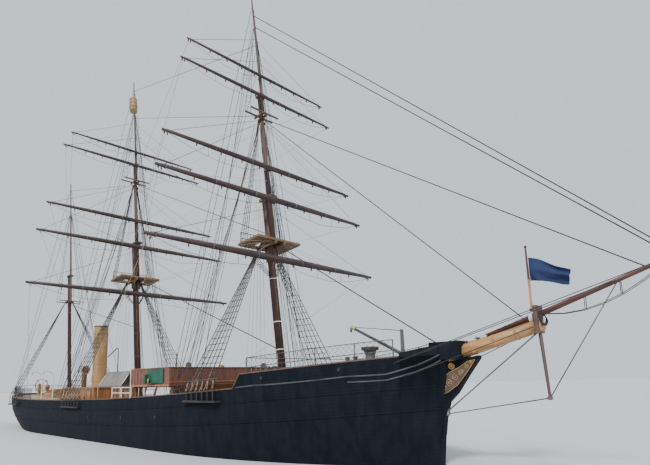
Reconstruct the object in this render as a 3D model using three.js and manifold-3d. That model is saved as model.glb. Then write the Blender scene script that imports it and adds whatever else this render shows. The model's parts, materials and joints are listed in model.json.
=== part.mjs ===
// A three-masted auxiliary barque afloat, as a model at 1:2 of the real ship. Millimetres of the model.
// +X points to the bow, +Y to port and +Z up. The origin lies on the centreline, amidships, at the waterline.
import * as THREE from "three";
import { mergeVertices } from "three/addons/utils/BufferGeometryUtils.js";
import Module from "manifold-3d";

const wasm = await Module();
wasm.setup();

// Driving dimensions of the hull
const DRAUGHT = 2400;
const HALF_BEAM = 2570;
const TAFFRAIL_X = -14200;
const STEM_X = 13600;
const KEEL_HALF = 110; // half the thickness of keel, stem and sternpost
const SHEER_LOW_X = -4500; // where the rail runs lowest
const SHEER_LOW_Z = 1410;
const SHEER_FORE = 2.35e-6; // rise of the rail, per mm squared, forward of the lowest place
const SHEER_AFT = 2.2e-6;
const FORECASTLE_RISE = 350; // the bulwark steps up by this to the forecastle
const STEP_FROM_X = 8650;
const STEP_TO_X = 8900;

// Decks and bulwarks
const WALL = 60; // thickness of the bulwark planking
const PLANK = 40; // thickness of the decks and of the bulkheads at their breaks
const GAP = 0.3; // clearance between pieces that touch
const POOP_BREAK_X = -6400;
const FORECASTLE_BREAK_X = STEP_TO_X;
const BULWARK = 560; // rail above the main deck
const POOP_WATERWAY = 60; // rail above the poop deck
const FORECASTLE_WATERWAY = 75;
const FAR = 9000; // past everything, for cutting solids

// Colours of the finishes
const BLACK_HULL = 0x14181d;
const PALE_DECK = 0xa08a6c;
const BROWN_SPAR = 0x5a3c34;
const OCHRE_SPAR = 0xb47a3c;
const DARK_RED_SPAR = 0x4e2620;
const TAN_WOOD = 0xb98a55;
const RED_BROWN = 0x6a3a2e;
const FUNNEL_BUFF = 0xc49a5a;
const IRON_GREY = 0x55585c;
const TARRED = 0x17130f;
const BRONZE = 0x9a7440;
const WHITE_PAINT = 0xd9d7d0;
const CANVAS_GREY = 0x8d8f90;

const v3 = (x, y, z) => new THREE.Vector3(x, y, z);

// Solids: every piece is made as a manifold solid, joined and cut, and turned into a mesh at the end

function solidOf(geometry) {
  const bare = geometry.index ? geometry.toNonIndexed() : geometry.clone();
  bare.deleteAttribute("normal");
  bare.deleteAttribute("uv");
  const merged = mergeVertices(bare, 1e-3);
  const triVerts = [];
  const index = merged.index.array;
  for (let i = 0; i < index.length; i += 3) {
    const [a, b, c] = [index[i], index[i + 1], index[i + 2]];
    if (a !== b && b !== c && c !== a) triVerts.push(a, b, c);
  }
  return new wasm.Manifold(
    new wasm.Mesh({
      numProp: 3,
      vertProperties: new Float32Array(merged.attributes.position.array),
      triVerts: new Uint32Array(triVerts),
    }),
  );
}

const joined = (solids) => solids.reduce((whole, next) => whole.add(next));

function piece(name, solid, color, roughness = 0.7, metalness = 0) {
  const made = solid.getMesh();
  const stride = made.numProp;
  const points = new Float32Array(made.numVert * 3);
  for (let i = 0; i < made.numVert; i++) {
    points.set(made.vertProperties.subarray(i * stride, i * stride + 3), i * 3);
  }
  const geometry = new THREE.BufferGeometry();
  geometry.setAttribute("position", new THREE.BufferAttribute(points, 3));
  geometry.setIndex(new THREE.BufferAttribute(new Uint32Array(made.triVerts), 1));
  geometry.computeVertexNormals();
  const mesh = new THREE.Mesh(geometry, new THREE.MeshStandardMaterial({ color, roughness, metalness }));
  mesh.name = name;
  return mesh;
}

// A box from its lowest and highest corners.
function box(low, high) {
  const size = [0, 1, 2].map((i) => high[i] - low[i]);
  const middle = [0, 1, 2].map((i) => (high[i] + low[i]) / 2);
  return solidOf(new THREE.BoxGeometry(...size).translate(...middle));
}

// A body of revolution about the line from start along axis. The profile lists [radius, distance from start].
function turned(profile, start, axis, sides = 12) {
  const geometry = new THREE.LatheGeometry(
    profile.map(([radius, along]) => new THREE.Vector2(radius, along)),
    sides,
  );
  geometry.applyQuaternion(new THREE.Quaternion().setFromUnitVectors(v3(0, 1, 0), axis.clone().normalize()));
  return solidOf(geometry.translate(start.x, start.y, start.z));
}

// A straight bar between two points, tapering from one radius to the other.
function bar(a, b, radiusA, radiusB = radiusA, sides = 8) {
  const along = b.clone().sub(a);
  const length = along.length();
  return turned([[0, 0], [radiusA, 0], [radiusB, length], [0, length]], a, along, sides);
}

// A flat ring with a square section, its low face at start.
function ring(inner, outer, height, start, axis, sides = 20) {
  return turned(
    [[inner, height], [inner, 0], [outer, 0], [outer, height], [inner, height]],
    start, axis, sides,
  );
}

// A plate cut to an outline of [x, z] points, centred on y.
function sidePlate(outline, y, thickness) {
  const shape = new THREE.Shape(outline.map(([x, z]) => new THREE.Vector2(x, z)));
  const geometry = new THREE.ExtrudeGeometry(shape, { depth: thickness, bevelEnabled: false });
  return solidOf(geometry.rotateX(Math.PI / 2).translate(0, y + thickness / 2, 0));
}

// Skins rings of points that mirror across the centreline. Point k of a ring faces its last but k.
function loft(rings) {
  const count = rings[0].length;
  const points = rings.flat(2);
  const triangles = [];
  const at = (ring, k) => ring * count + (k % count);
  const quad = (a, b, c, d) => triangles.push(a, c, b, a, d, c);
  for (let i = 0; i < rings.length - 1; i++) {
    for (let k = 0; k < count; k++) quad(at(i, k), at(i + 1, k), at(i + 1, k + 1), at(i, k + 1));
  }
  for (let k = 0; k < count / 2 - 1; k++) {
    const last = rings.length - 1;
    quad(at(0, k), at(0, k + 1), at(0, count - 2 - k), at(0, count - 1 - k));
    quad(at(last, count - 1 - k), at(last, count - 2 - k), at(last, k + 1), at(last, k));
  }
  const geometry = new THREE.BufferGeometry();
  geometry.setAttribute("position", new THREE.BufferAttribute(new Float32Array(points), 3));
  geometry.setIndex(triangles);
  return solidOf(geometry);
}

// The lines of the hull

const smooth = (t) => {
  const s = Math.min(1, Math.max(0, t));
  return s * s * (3 - 2 * s);
};

function sheer(x) {
  const away = x - SHEER_LOW_X;
  return SHEER_LOW_Z + (away > 0 ? SHEER_FORE : SHEER_AFT) * away * away;
}

const railZ = (x) => sheer(x) + FORECASTLE_RISE * smooth((x - STEP_FROM_X) / (STEP_TO_X - STEP_FROM_X));

// Half breadth of one waterline: full between its run and its entrance, then closing in to the posts.
function halfBreadth(x, line) {
  if (x > line.entryX) {
    const s = Math.min(1, (x - line.entryX) / (line.entryEnd - line.entryX));
    return line.half * (1 - s ** line.entryPower) ** line.entryRoot;
  }
  if (x < line.runX) {
    const s = Math.min(1, (line.runX - x) / (line.runX - line.runEnd));
    return line.half * (1 - s ** line.runPower) ** line.runRoot;
  }
  return line.half;
}

// Waterlines from the keel up. z amidships, half breadth, aft end of the post, fore end of the stem, where
// the run starts and ends with its two exponents, the same for the entrance, and its share of the sheer. The
// last is the rail, which steps up at the forecastle.
const WATERLINES = [
  [-DRAUGHT, KEEL_HALF, -13050, 9900, -4000, -11600, 2, 1, 3500, 9700, 2, 1, 0],
  [-2230, KEEL_HALF + 20, -13050, 10350, -4000, -11600, 2, 1, 3500, 10200, 2, 1, 0],
  [-2170, 1050, -13050, 10500, -3000, -10000, 1.7, 1.3, 2500, 9300, 1.8, 1.2, 0],
  [-1900, 1750, -13050, 11350, -3500, -11200, 1.7, 1.3, 2800, 10700, 1.9, 1.15, 0],
  [-1400, 2250, -13050, 12250, -4000, -11600, 1.8, 1.25, 3200, 11900, 2, 1.1, 0],
  [-750, 2480, -13050, 12850, -4500, -11900, 1.9, 1.2, 3800, 12650, 2.1, 1, 0],
  [0, HALF_BEAM, -13100, 13175, -5000, -13000, 2, 1, 4500, 13075, 2.3, 0.9, 0],
  [420, HALF_BEAM + 25, -13650, 13250, -5500, -13600, 2.1, 0.85, 5000, 13200, 2.4, 0.8, 0.25],
  [850, HALF_BEAM + 20, -14000, 13350, -5800, -13980, 2.2, 0.75, 5600, 13330, 2.5, 0.75, 0.6],
  [SHEER_LOW_Z, HALF_BEAM - 10, TAFFRAIL_X, STEM_X, -5950, TAFFRAIL_X + 10, 2.2, 0.7,
    6050, STEM_X - 10, 2.6, 0.7, 1],
].map(([z, half, aft, fore, runX, runEnd, runPower, runRoot, ...entry]) => {
  const [entryX, entryEnd, entryPower, entryRoot, share] = entry;
  const run = { runX, runEnd, runPower, runRoot };
  return { z, half, aft, fore, share, ...run, entryX, entryEnd, entryPower, entryRoot };
});
const RAIL_LINE = WATERLINES[WATERLINES.length - 1];

// Frames of the hull, where they meet the rail
const FRAMES = [
  TAFFRAIL_X, -14120, -13950, -13650, -13200, -12600, -11800, -10700, -9200, -7600,
  POOP_BREAK_X, -4500, -1500, 1500, 4500, 6600, 7600, STEP_FROM_X, 8775,
  FORECASTLE_BREAK_X, 9700, 10400, 11100, 11800, 12400, 12850, 13200, 13450, STEM_X,
];

function hullBody(grow = 0) {
  const rings = FRAMES.map((frame) => {
    const u = (frame - TAFFRAIL_X) / (STEM_X - TAFFRAIL_X);
    const starboard = [];
    const port = [];
    for (const line of WATERLINES) {
      const x = line.aft + u * (line.fore - line.aft);
      const half = Math.max(KEEL_HALF, halfBreadth(x, line)) + grow;
      const rise = (line === RAIL_LINE ? railZ(frame) : sheer(frame)) - SHEER_LOW_Z;
      const z = line.z + line.share * rise;
      starboard.unshift([x, -half, z]);
      port.push([x, half, z]);
    }
    return [...starboard, ...port];
  });
  return loft(rings);
}

// Makes a function of x run straight between frames, so that pieces that meet are cut to the same facets.
function straightBetweenFrames(height) {
  return (x) => {
    const reached = FRAMES.findIndex((frame) => frame >= x);
    const next = reached < 0 ? FRAMES.length - 1 : Math.max(1, reached);
    const [a, b] = [FRAMES[next - 1], FRAMES[next]];
    return height(a) + ((x - a) / (b - a)) * (height(b) - height(a));
  };
}

// The rail's outline drawn in by an amount, as a function of x.
function insetPlan(inset) {
  const line = {
    ...RAIL_LINE,
    half: RAIL_LINE.half - inset,
    runEnd: RAIL_LINE.runEnd + inset,
    entryEnd: RAIL_LINE.entryEnd - inset,
  };
  return { half: straightBetweenFrames((x) => halfBreadth(x, line)), aft: line.runEnd, fore: line.entryEnd };
}

// A slab over part of the plan, its faces at low(x) and high(x), with a station at each frame it passes.
function planSlab(plan, fromX, toX, low, high, least = 12) {
  const start = Math.max(fromX, plan.aft);
  const end = Math.min(toX, plan.fore);
  const stations = [start, ...FRAMES.filter((x) => x > start + 5 && x < end - 5), end];
  return loft(
    stations.map((x) => {
      const half = Math.max(least, plan.half(x));
      return [[x, -half, high(x)], [x, -half, low(x)], [x, half, low(x)], [x, half, high(x)]];
    }),
  );
}

const RAIL_TOP = straightBetweenFrames(railZ);
const SHEER_TOP = straightBetweenFrames(sheer);

// The three decks: their ends and the height of their upper face
const DECKS = [
  { from: -FAR * 2, to: POOP_BREAK_X, top: (x) => RAIL_TOP(x) - POOP_WATERWAY },
  { from: POOP_BREAK_X, to: FORECASTLE_BREAK_X, top: (x) => SHEER_TOP(x) - BULWARK },
  { from: FORECASTLE_BREAK_X, to: FAR * 2, top: (x) => RAIL_TOP(x) - FORECASTLE_WATERWAY },
];
const [POOP, MAIN, FORECASTLE] = DECKS;

// What lies under the decks' upper faces, a touch higher, to cut the feet of what stands there
const WIDE = { half: () => 3200, aft: TAFFRAIL_X - 300, fore: STEM_X - 60 };
const underDecks = joined(
  DECKS.map(({ from, to, top }) => planSlab(WIDE, from, to, () => -FAR, (x) => top(x) + GAP)),
);
const stood = (solid) => solid.subtract(underDecks);

function deckBody() {
  const plan = insetPlan(WALL);
  const mainUnderside = (x) => MAIN.top(x) - PLANK;
  const slabs = [
    planSlab(plan, POOP.from, POOP_BREAK_X, (x) => POOP.top(x) - PLANK, POOP.top),
    planSlab(plan, POOP_BREAK_X - 1, FORECASTLE_BREAK_X, mainUnderside, MAIN.top),
    planSlab(plan, FORECASTLE_BREAK_X - PLANK, FAR * 2, (x) => FORECASTLE.top(x) - PLANK, FORECASTLE.top),
    planSlab(plan, FORECASTLE_BREAK_X - PLANK, FORECASTLE_BREAK_X, mainUnderside, FORECASTLE.top),
    planSlab(plan, POOP_BREAK_X, POOP_BREAK_X + PLANK, mainUnderside, () => POOP.top(POOP_BREAK_X)),
  ];
  return joined(slabs);
}

// Boarded bulwark round the bow, from low behind the rail up to the bed of the bowsprit
const BOW_WALL = { aft: 12810, knuckle: 13380, aftZ: 2560, knuckleZ: 2710, foreZ: 2770 };
function bowWall() {
  const { aft, knuckle, aftZ, knuckleZ, foreZ } = BOW_WALL;
  const top = (x) => (x < knuckle
    ? aftZ + ((x - aft) * (knuckleZ - aftZ)) / (knuckle - aft)
    : knuckleZ + ((x - knuckle) * (foreZ - knuckleZ)) / (STEM_X - knuckle));
  const foot = (x) => RAIL_TOP(x) - 20;
  return planSlab(insetPlan(2), aft, FAR * 2, foot, top).subtract(
    planSlab(insetPlan(WALL), aft - 10, FAR * 2, () => -FAR, () => FAR));
}

// Timbers across the stemhead that hold the bowsprit down and take the fore stay
const CHOCK = { aft: 13180, fore: 13925, half: 270, low: 2380, top: 2790 };
const chock = box([CHOCK.aft, -CHOCK.half, CHOCK.low], [CHOCK.fore, CHOCK.half, CHOCK.top]);

function deckWells() {
  const plan = insetPlan(WALL - GAP);
  const floor = (deck) => (x) => deck.top(x) - PLANK - GAP;
  return joined([
    planSlab(plan, POOP.from, POOP_BREAK_X, floor(POOP), () => FAR),
    planSlab(plan, POOP_BREAK_X - 1 - GAP, FORECASTLE_BREAK_X + GAP, floor(MAIN), () => FAR),
    planSlab(plan, FORECASTLE_BREAK_X - PLANK, FAR * 2, floor(FORECASTLE), () => FAR),
  ]);
}

// The stern: propeller aperture, rudder and its trunk
const SHAFT_Z = -1000;
const APERTURE = { fore: -11650, aft: -12700, low: -1960, high: -150 };
const RUDDER_AXIS_X = -13190;
const RUDDER_STOCK_R = 75;
const TRUNK_R = 100;
const TRUNK_TOP_Z = 700;
const RUDDER_FOOT_Z = -2330; // the heel of the keel carries the stock from here

function apertureCut() {
  const { fore, aft, low, high } = APERTURE;
  const corner = 180;
  return sidePlate(
    [
      [aft, low], [fore - corner, low], [fore, low + corner], [fore, high - corner],
      [fore - corner, high], [aft + corner, high], [aft, high - corner],
    ],
    0, 1200,
  );
}

// The knee of the head, from the stem at the waterline up to the bowsprit
const KNEE_OUTLINE = [
  [13120, 700], [13285, 700], [13345, 1060], [13465, 1440], [13680, 1640], [13990, 2050], [14265, 2390],
  [14265, 2450], [13560, 2330], [13250, 1500],
];
const KNEE_THICKNESS = 170;

// Bowsprit and jib-boom
const BOWSPRIT_BUTT = v3(12950, 0, 2320);
const BOWSPRIT_END = v3(15650, 0, 2998);
const BOWSPRIT_R = 168;
const BOWSPRIT_END_R = 132;
const JIB_BOOM_HEEL = v3(14500, 0, 2838);
const JIB_BOOM_TIP = v3(18115, 0, 4049);
const JIB_BOOM_R = 72;
const JIB_BOOM_TIP_R = 36;

function octagonSpar(start, end, radius, endRadius, grow = 0) {
  const length = end.distanceTo(start);
  const profile = [[0, 0], [radius + grow, 0], [endRadius + grow, length], [0, length]];
  return turned(profile, start, end.clone().sub(start), 8);
}

const bowsprit = (grow) => octagonSpar(BOWSPRIT_BUTT, BOWSPRIT_END, BOWSPRIT_R, BOWSPRIT_END_R, grow);
const jibBoom = (grow) => octagonSpar(JIB_BOOM_HEEL, JIB_BOOM_TIP, JIB_BOOM_R, JIB_BOOM_TIP_R, grow);

const ship = new THREE.Group();
const put = (...args) => ship.add(piece(...args));

const onRudderAxis = (z) => v3(RUDDER_AXIS_X, 0, z);
const stockHole = bar(onRudderAxis(-DRAUGHT - 100), onRudderAxis(TRUNK_TOP_Z), TRUNK_R, TRUNK_R, 16);
const hull = hullBody()
  .subtract(deckWells())
  .add(sidePlate(KNEE_OUTLINE, 0, KNEE_THICKNESS))
  .subtract(apertureCut())
  .subtract(stockHole)
  .add(bowWall())
  .add(chock.subtract(
    planSlab(insetPlan(WALL - GAP), CHOCK.aft - 50, FAR * 2, () => -FAR, (x) => FORECASTLE.top(x) + GAP)))
  .subtract(bowsprit(2))
  .add(box([RUDDER_AXIS_X - 110, -60, -DRAUGHT], [RUDDER_AXIS_X + 190, 60, RUDDER_FOOT_Z - GAP]));
put("hull", hull, BLACK_HULL, 0.45);

// Bedplates on the forecastle, under the capstan and the post of the anchor crane
const CAPSTAN = { x: 11300, bedR: 260, bed: 45 };
const CRANE = { x: 12300, head: 3190, bedR: 90, bed: 60 };
for (const fitting of [CAPSTAN, CRANE]) fitting.foot = FORECASTLE.top(fitting.x) + fitting.bed;
const bedplates = [CAPSTAN, CRANE].map(({ x, bedR, bed, foot }) =>
  bar(v3(x, 0, foot - bed - PLANK / 2), v3(x, 0, foot - GAP), bedR, bedR, 16));
put("decks", joined([deckBody(), ...bedplates]).subtract(bowsprit(2)), PALE_DECK, 0.85);

// Cap rail all round on top of the bulwarks
const CAP_HEIGHT = 35;
const CAP_OUT = 15;
const CAP_IN = 85;
const CAP_END_X = BOW_WALL.aft - GAP;
const capOuter = planSlab(
  insetPlan(-CAP_OUT), -FAR * 2, CAP_END_X, (x) => RAIL_TOP(x) + GAP, (x) => RAIL_TOP(x) + CAP_HEIGHT,
);
const capInner = planSlab(insetPlan(CAP_IN), -FAR * 2, FAR * 2, () => -FAR, () => FAR);
put("cap_rail", capOuter.subtract(capInner), BROWN_SPAR, 0.6);

// Open rails on the poop and the forecastle: posts joined by two rods
function openRail({ inset, height, middle, deck, posts }) {
  const plan = insetPlan(inset);
  const half = 11;
  const solids = [];
  // From the open end on starboard, across at the last post, and back to port
  const line = [
    ...posts.map((x) => [x, -plan.half(x)]),
    ...[...posts].reverse().map((x) => [x, plan.half(x)]),
  ];
  line.forEach(([x, y], i) => {
    const foot = deck.top(x);
    solids.push(box([x - half, y - half, foot - 20], [x + half, y + half, foot + height + 8]));
    if (i === 0) return;
    const [px, py] = line[i - 1];
    for (const up of [height, middle]) {
      solids.push(bar(v3(px, py, deck.top(px) + up), v3(x, y, deck.top(x) + up), 10, 10, 6));
    }
  });
  return stood(joined(solids));
}

const POOP_RAIL = { inset: 120, height: 560, middle: 280, deck: POOP };
POOP_RAIL.posts = [-6500, -8000, -9500, -11000, -12200, -13100, -13750];
const FORECASTLE_RAIL = { inset: 130, height: 500, middle: 250, deck: FORECASTLE };
FORECASTLE_RAIL.posts = [12650, 11900, 11000, 10000, 9000];
put("poop_rail", openRail(POOP_RAIL), IRON_GREY, 0.5, 0.5);
put("forecastle_rail", openRail(FORECASTLE_RAIL), IRON_GREY, 0.5, 0.5);

// Rudder: a plate on a round stock that turns in its trunk and on the keel's heel
const RUDDER_OUTLINE = [
  [-13240, RUDDER_FOOT_Z], [-14020, RUDDER_FOOT_Z], [-14080, -1500], [-13900, -600],
  [-13560, 60], [-13240, 60],
];
const stock = bar(
  onRudderAxis(RUDDER_FOOT_Z), onRudderAxis(TRUNK_TOP_Z - 40), RUDDER_STOCK_R, RUDDER_STOCK_R, 16,
);
put("rudder", sidePlate(RUDDER_OUTLINE, 0, 90).add(stock), BLACK_HULL, 0.5);

// Two-bladed propeller, its blades upright in the aperture
const PROPELLER_X = -12180;
const BLADE_TIP = 800;
function propellerBody() {
  const hub = turned([[0, -300], [120, -300], [150, 0], [120, 180], [40, 260], [0, 260]],
    v3(PROPELLER_X, 0, SHAFT_Z), v3(-1, 0, 0), 16);
  const shaft = bar(v3(PROPELLER_X + 250, 0, SHAFT_Z), v3(APERTURE.fore - GAP, 0, SHAFT_Z), 70, 70, 12);
  const outline = new THREE.Shape();
  outline.moveTo(-80, 60);
  outline.quadraticCurveTo(-330, BLADE_TIP * 0.75, 0, BLADE_TIP);
  outline.quadraticCurveTo(330, BLADE_TIP * 0.75, 80, 60);
  outline.closePath();
  const blades = [0, Math.PI].map((turn) => {
    const geometry = new THREE.ExtrudeGeometry(outline, { depth: 40, bevelEnabled: false, curveSegments: 5 });
    geometry.translate(0, 0, -20).rotateX(Math.PI / 2).rotateZ(Math.PI / 4 + Math.PI / 2);
    return solidOf(geometry.rotateX(turn).translate(PROPELLER_X, 0, SHAFT_Z));
  });
  return joined([hub, shaft, ...blades]);
}
put("propeller", propellerBody(), BRONZE, 0.35, 0.8);

// Bowsprit, its iron cap with the dolphin striker and jack staff, and the jib-boom above
put("bowsprit", stood(bowsprit(0)), OCHRE_SPAR, 0.6);
const CAP_X = 15580;
const CAP_BLOCK = { half: 40, halfY: 165, low: 2830, high: 3390 };
const STRIKER_HEAD = v3(CAP_X, 0, 2900);
const STRIKER_END = v3(CAP_X + 60, 0, 1500);
const STRIKER_R = 42;
const STRIKER_END_R = 30;
function capBlock(grow) {
  const { half, halfY, low, high } = CAP_BLOCK;
  return box([CAP_X - half - grow, -halfY, low - grow], [CAP_X + half + grow, halfY, high]);
}
const striker = (grow) => bar(STRIKER_HEAD, STRIKER_END, STRIKER_R + grow, STRIKER_END_R + grow);
const bowspritCap = joined([
  capBlock(0),
  striker(0),
  bar(v3(CAP_X - 110, 0, 3300), v3(CAP_X - 110, 0, 4660), 22, 14),
  box([CAP_X - 140, -60, 3290], [CAP_X, 60, 3340]),
]).subtract(bowsprit(0.5)).subtract(jibBoom(0.5));
put("bowsprit_cap", bowspritCap, IRON_GREY, 0.5, 0.6);
put("jib_boom", jibBoom(0).subtract(bowsprit(0.5)), DARK_RED_SPAR, 0.55);

// Masts. Each is a group raked aft about its foot on the waterline, in which z runs up the mast. The topmast
// stands ahead of the lower mast and the topgallant mast ahead of the topmast, doubled over the one below.
const rad = THREE.MathUtils.degToRad;

const MASTS = {
  fore: {
    x: 8222, rake: 6.6, foot: 500, top: 6422, cap: 8018, lowerR: 140, lowerEndR: 115,
    topmastHeel: 6520, topmastCap: 11850, topmastR: 88, topmastEndR: 66, topmastX: 200,
    crosstrees: 11119, poleHeel: 11100, truck: 16308, poleR: 58, poleEndR: 24, poleX: 322,
    stay: { z: 6560, x: 580, drop: 464 },
  },
  main: {
    x: -700, rake: 6.5, foot: 300, top: 6639, cap: 8340, lowerR: 150, lowerEndR: 120,
    topmastHeel: 6740, topmastCap: 12250, topmastR: 90, topmastEndR: 68, topmastX: 205,
    crosstrees: 11386, poleHeel: 11367, truck: 16700, poleR: 60, poleEndR: 24, poleX: 330,
    stay: { z: 6780, x: 580, drop: 319 },
  },
  mizzen: {
    x: -7975, rake: 7.4, foot: 900, top: 6575, cap: 8067, lowerR: 100, lowerEndR: 88,
    topmastHeel: 6500, truck: 13618, topmastR: 66, topmastEndR: 26, topmastX: 158,
  },
};

for (const mast of Object.values(MASTS)) {
  mast.group = new THREE.Group();
  mast.group.position.set(mast.x, 0, 0);
  mast.group.rotation.y = -rad(mast.rake);
  mast.group.updateMatrixWorld(true);
  mast.toWorld = mast.group.matrixWorld;
  mast.underDecks = underDecks.transform(mast.toWorld.clone().invert().elements);
  ship.add(mast.group);
}

// A piece of a mast, made in the mast's own frame
const putOnMast = (m, ...args) => m.group.add(piece(...args));

const pole = (x, from, to, radius, endRadius, sides = 14) =>
  bar(v3(x, 0, from), v3(x, 0, to), radius, endRadius, sides);

// The radius of a tapering spar at a height.
const radiusAt = (z, from, to, radius, endRadius) =>
  radius + ((z - from) / (to - from)) * (endRadius - radius);
const lowerRadius = (m, z) => radiusAt(z, m.foot, m.cap, m.lowerR, m.lowerEndR);
const topmastRadius = (m, z) =>
  radiusAt(z, m.topmastHeel, m.topmastCap ?? m.truck, m.topmastR, m.topmastEndR);
const poleRadius = (m, z) => radiusAt(z, m.poleHeel, m.truck, m.poleR, m.poleEndR);

// Yards, from the royals down: height up the mast, half length, radius at the middle, how far the yard's
// centre and its pivot lie ahead of the lower mast's axis, and what the yard turns about.
const YARDS = [
  ["fore", "royal", 12517, 3080, 52, 452, 322, "pole"],
  ["fore", "topgallant", 11692, 3355, 60, 456, 322, "pole"],
  ["fore", "upper_topsail", 8990, 4060, 84, 390, 200, "topmast"],
  ["fore", "lower_topsail", 7788, 4370, 94, 482, 336, "cap pin"],
  ["fore", "course", 5772, 4725, 104, 402, 237, "truss pin"],
  ["main", "royal", 12789, 3085, 52, 460, 330, "pole"],
  ["main", "topgallant", 12089, 3405, 60, 464, 330, "pole"],
  ["main", "upper_topsail", 9317, 4005, 84, 396, 205, "topmast"],
  ["main", "lower_topsail", 8029, 4400, 94, 487, 341, "cap pin"],
  ["main", "course", 5868, 4695, 104, 408, 243, "truss pin"],
].map(([mast, sail, z, half, radius, ahead, pivot, turnsOn]) => ({
  mast, sail, z, half, radius, ahead, pivot, turnsOn,
}));

const COLLAR_HALF = 35; // half the height of a yard's collar
const COLLAR_THICK = 22;
const PIN_R = 22;
const SEAT_HEIGHT = 18;

const holderRadius = (m, yard) =>
  ({ pole: poleRadius(m, yard.z), topmast: topmastRadius(m, yard.z) })[yard.turnsOn] ?? PIN_R;

// What the yard's collar rests on: a band round the mast, or a bracket with a pin.
function yardSeat(m, yard) {
  const low = yard.z - COLLAR_HALF - GAP - SEAT_HEIGHT;
  const centre = v3(yard.pivot, 0, low);
  const radius = holderRadius(m, yard);
  const edge = radius + COLLAR_THICK;
  const band = turned([[0, 0], [edge, 0], [edge, SEAT_HEIGHT], [0, SEAT_HEIGHT]], centre, v3(0, 0, 1), 16);
  if (yard.turnsOn === "cap pin") {
    return band.add(bar(centre, v3(yard.pivot, 0, m.cap - 20), PIN_R, PIN_R, 12));
  }
  if (yard.turnsOn === "truss pin") {
    const arm = box([0, -30, low - 20], [yard.pivot + 20, 30, low + SEAT_HEIGHT]);
    return joined([band, arm, bar(centre, v3(yard.pivot, 0, yard.z + COLLAR_HALF + 25), PIN_R, PIN_R, 12)]);
  }
  return band;
}

function yardBody(m, yard) {
  const { z, half, radius, ahead, pivot } = yard;
  const spar = turned(
    [[0, -half], [radius * 0.45, -half], [radius * 0.8, -half * 0.55], [radius, -half * 0.2],
      [radius, half * 0.2], [radius * 0.8, half * 0.55], [radius * 0.45, half], [0, half]],
    v3(ahead, 0, z), v3(0, 1, 0), 10,
  );
  const inner = (holderRadius(m, yard) + 1) / Math.cos(Math.PI / 20);
  const outer = inner + COLLAR_THICK;
  const collar = ring(inner, outer, 2 * COLLAR_HALF, v3(pivot, 0, z - COLLAR_HALF), v3(0, 0, 1))
    .subtract(box([pivot - 2 * outer, -outer * 2, z - 100], [pivot + outer * 0.3, outer * 2, z + 100]));
  const link = box([pivot + inner + 4, -26, z - 30], [ahead, 26, z + 30]);
  return joined([spar, collar, link]);
}

const seatsOn = (m, mastName, kinds) =>
  YARDS.filter((yard) => yard.mast === mastName && kinds.includes(yard.turnsOn))
    .map((yard) => yardSeat(m, yard));

// A lower stay leaves the masthead as two legs, one each side of the topmast, that meet ahead of it.
function stayFork(m, radius) {
  const { z, x, drop } = m.stay;
  const side = lowerRadius(m, z) + 8;
  return joined([-1, 1].flatMap((s) => {
    const head = v3(0, s * side, z);
    const bend = v3(230, s * 118, z - (drop * 230) / x);
    const fork = v3(x, 0, z - drop);
    const seizing = solidOf(new THREE.SphereGeometry(radius * 1.3, 6, 5).translate(bend.x, bend.y, bend.z));
    return [bar(head, bend, radius, radius, 5), bar(bend, fork, radius, radius, 5), seizing];
  }));
}

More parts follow.
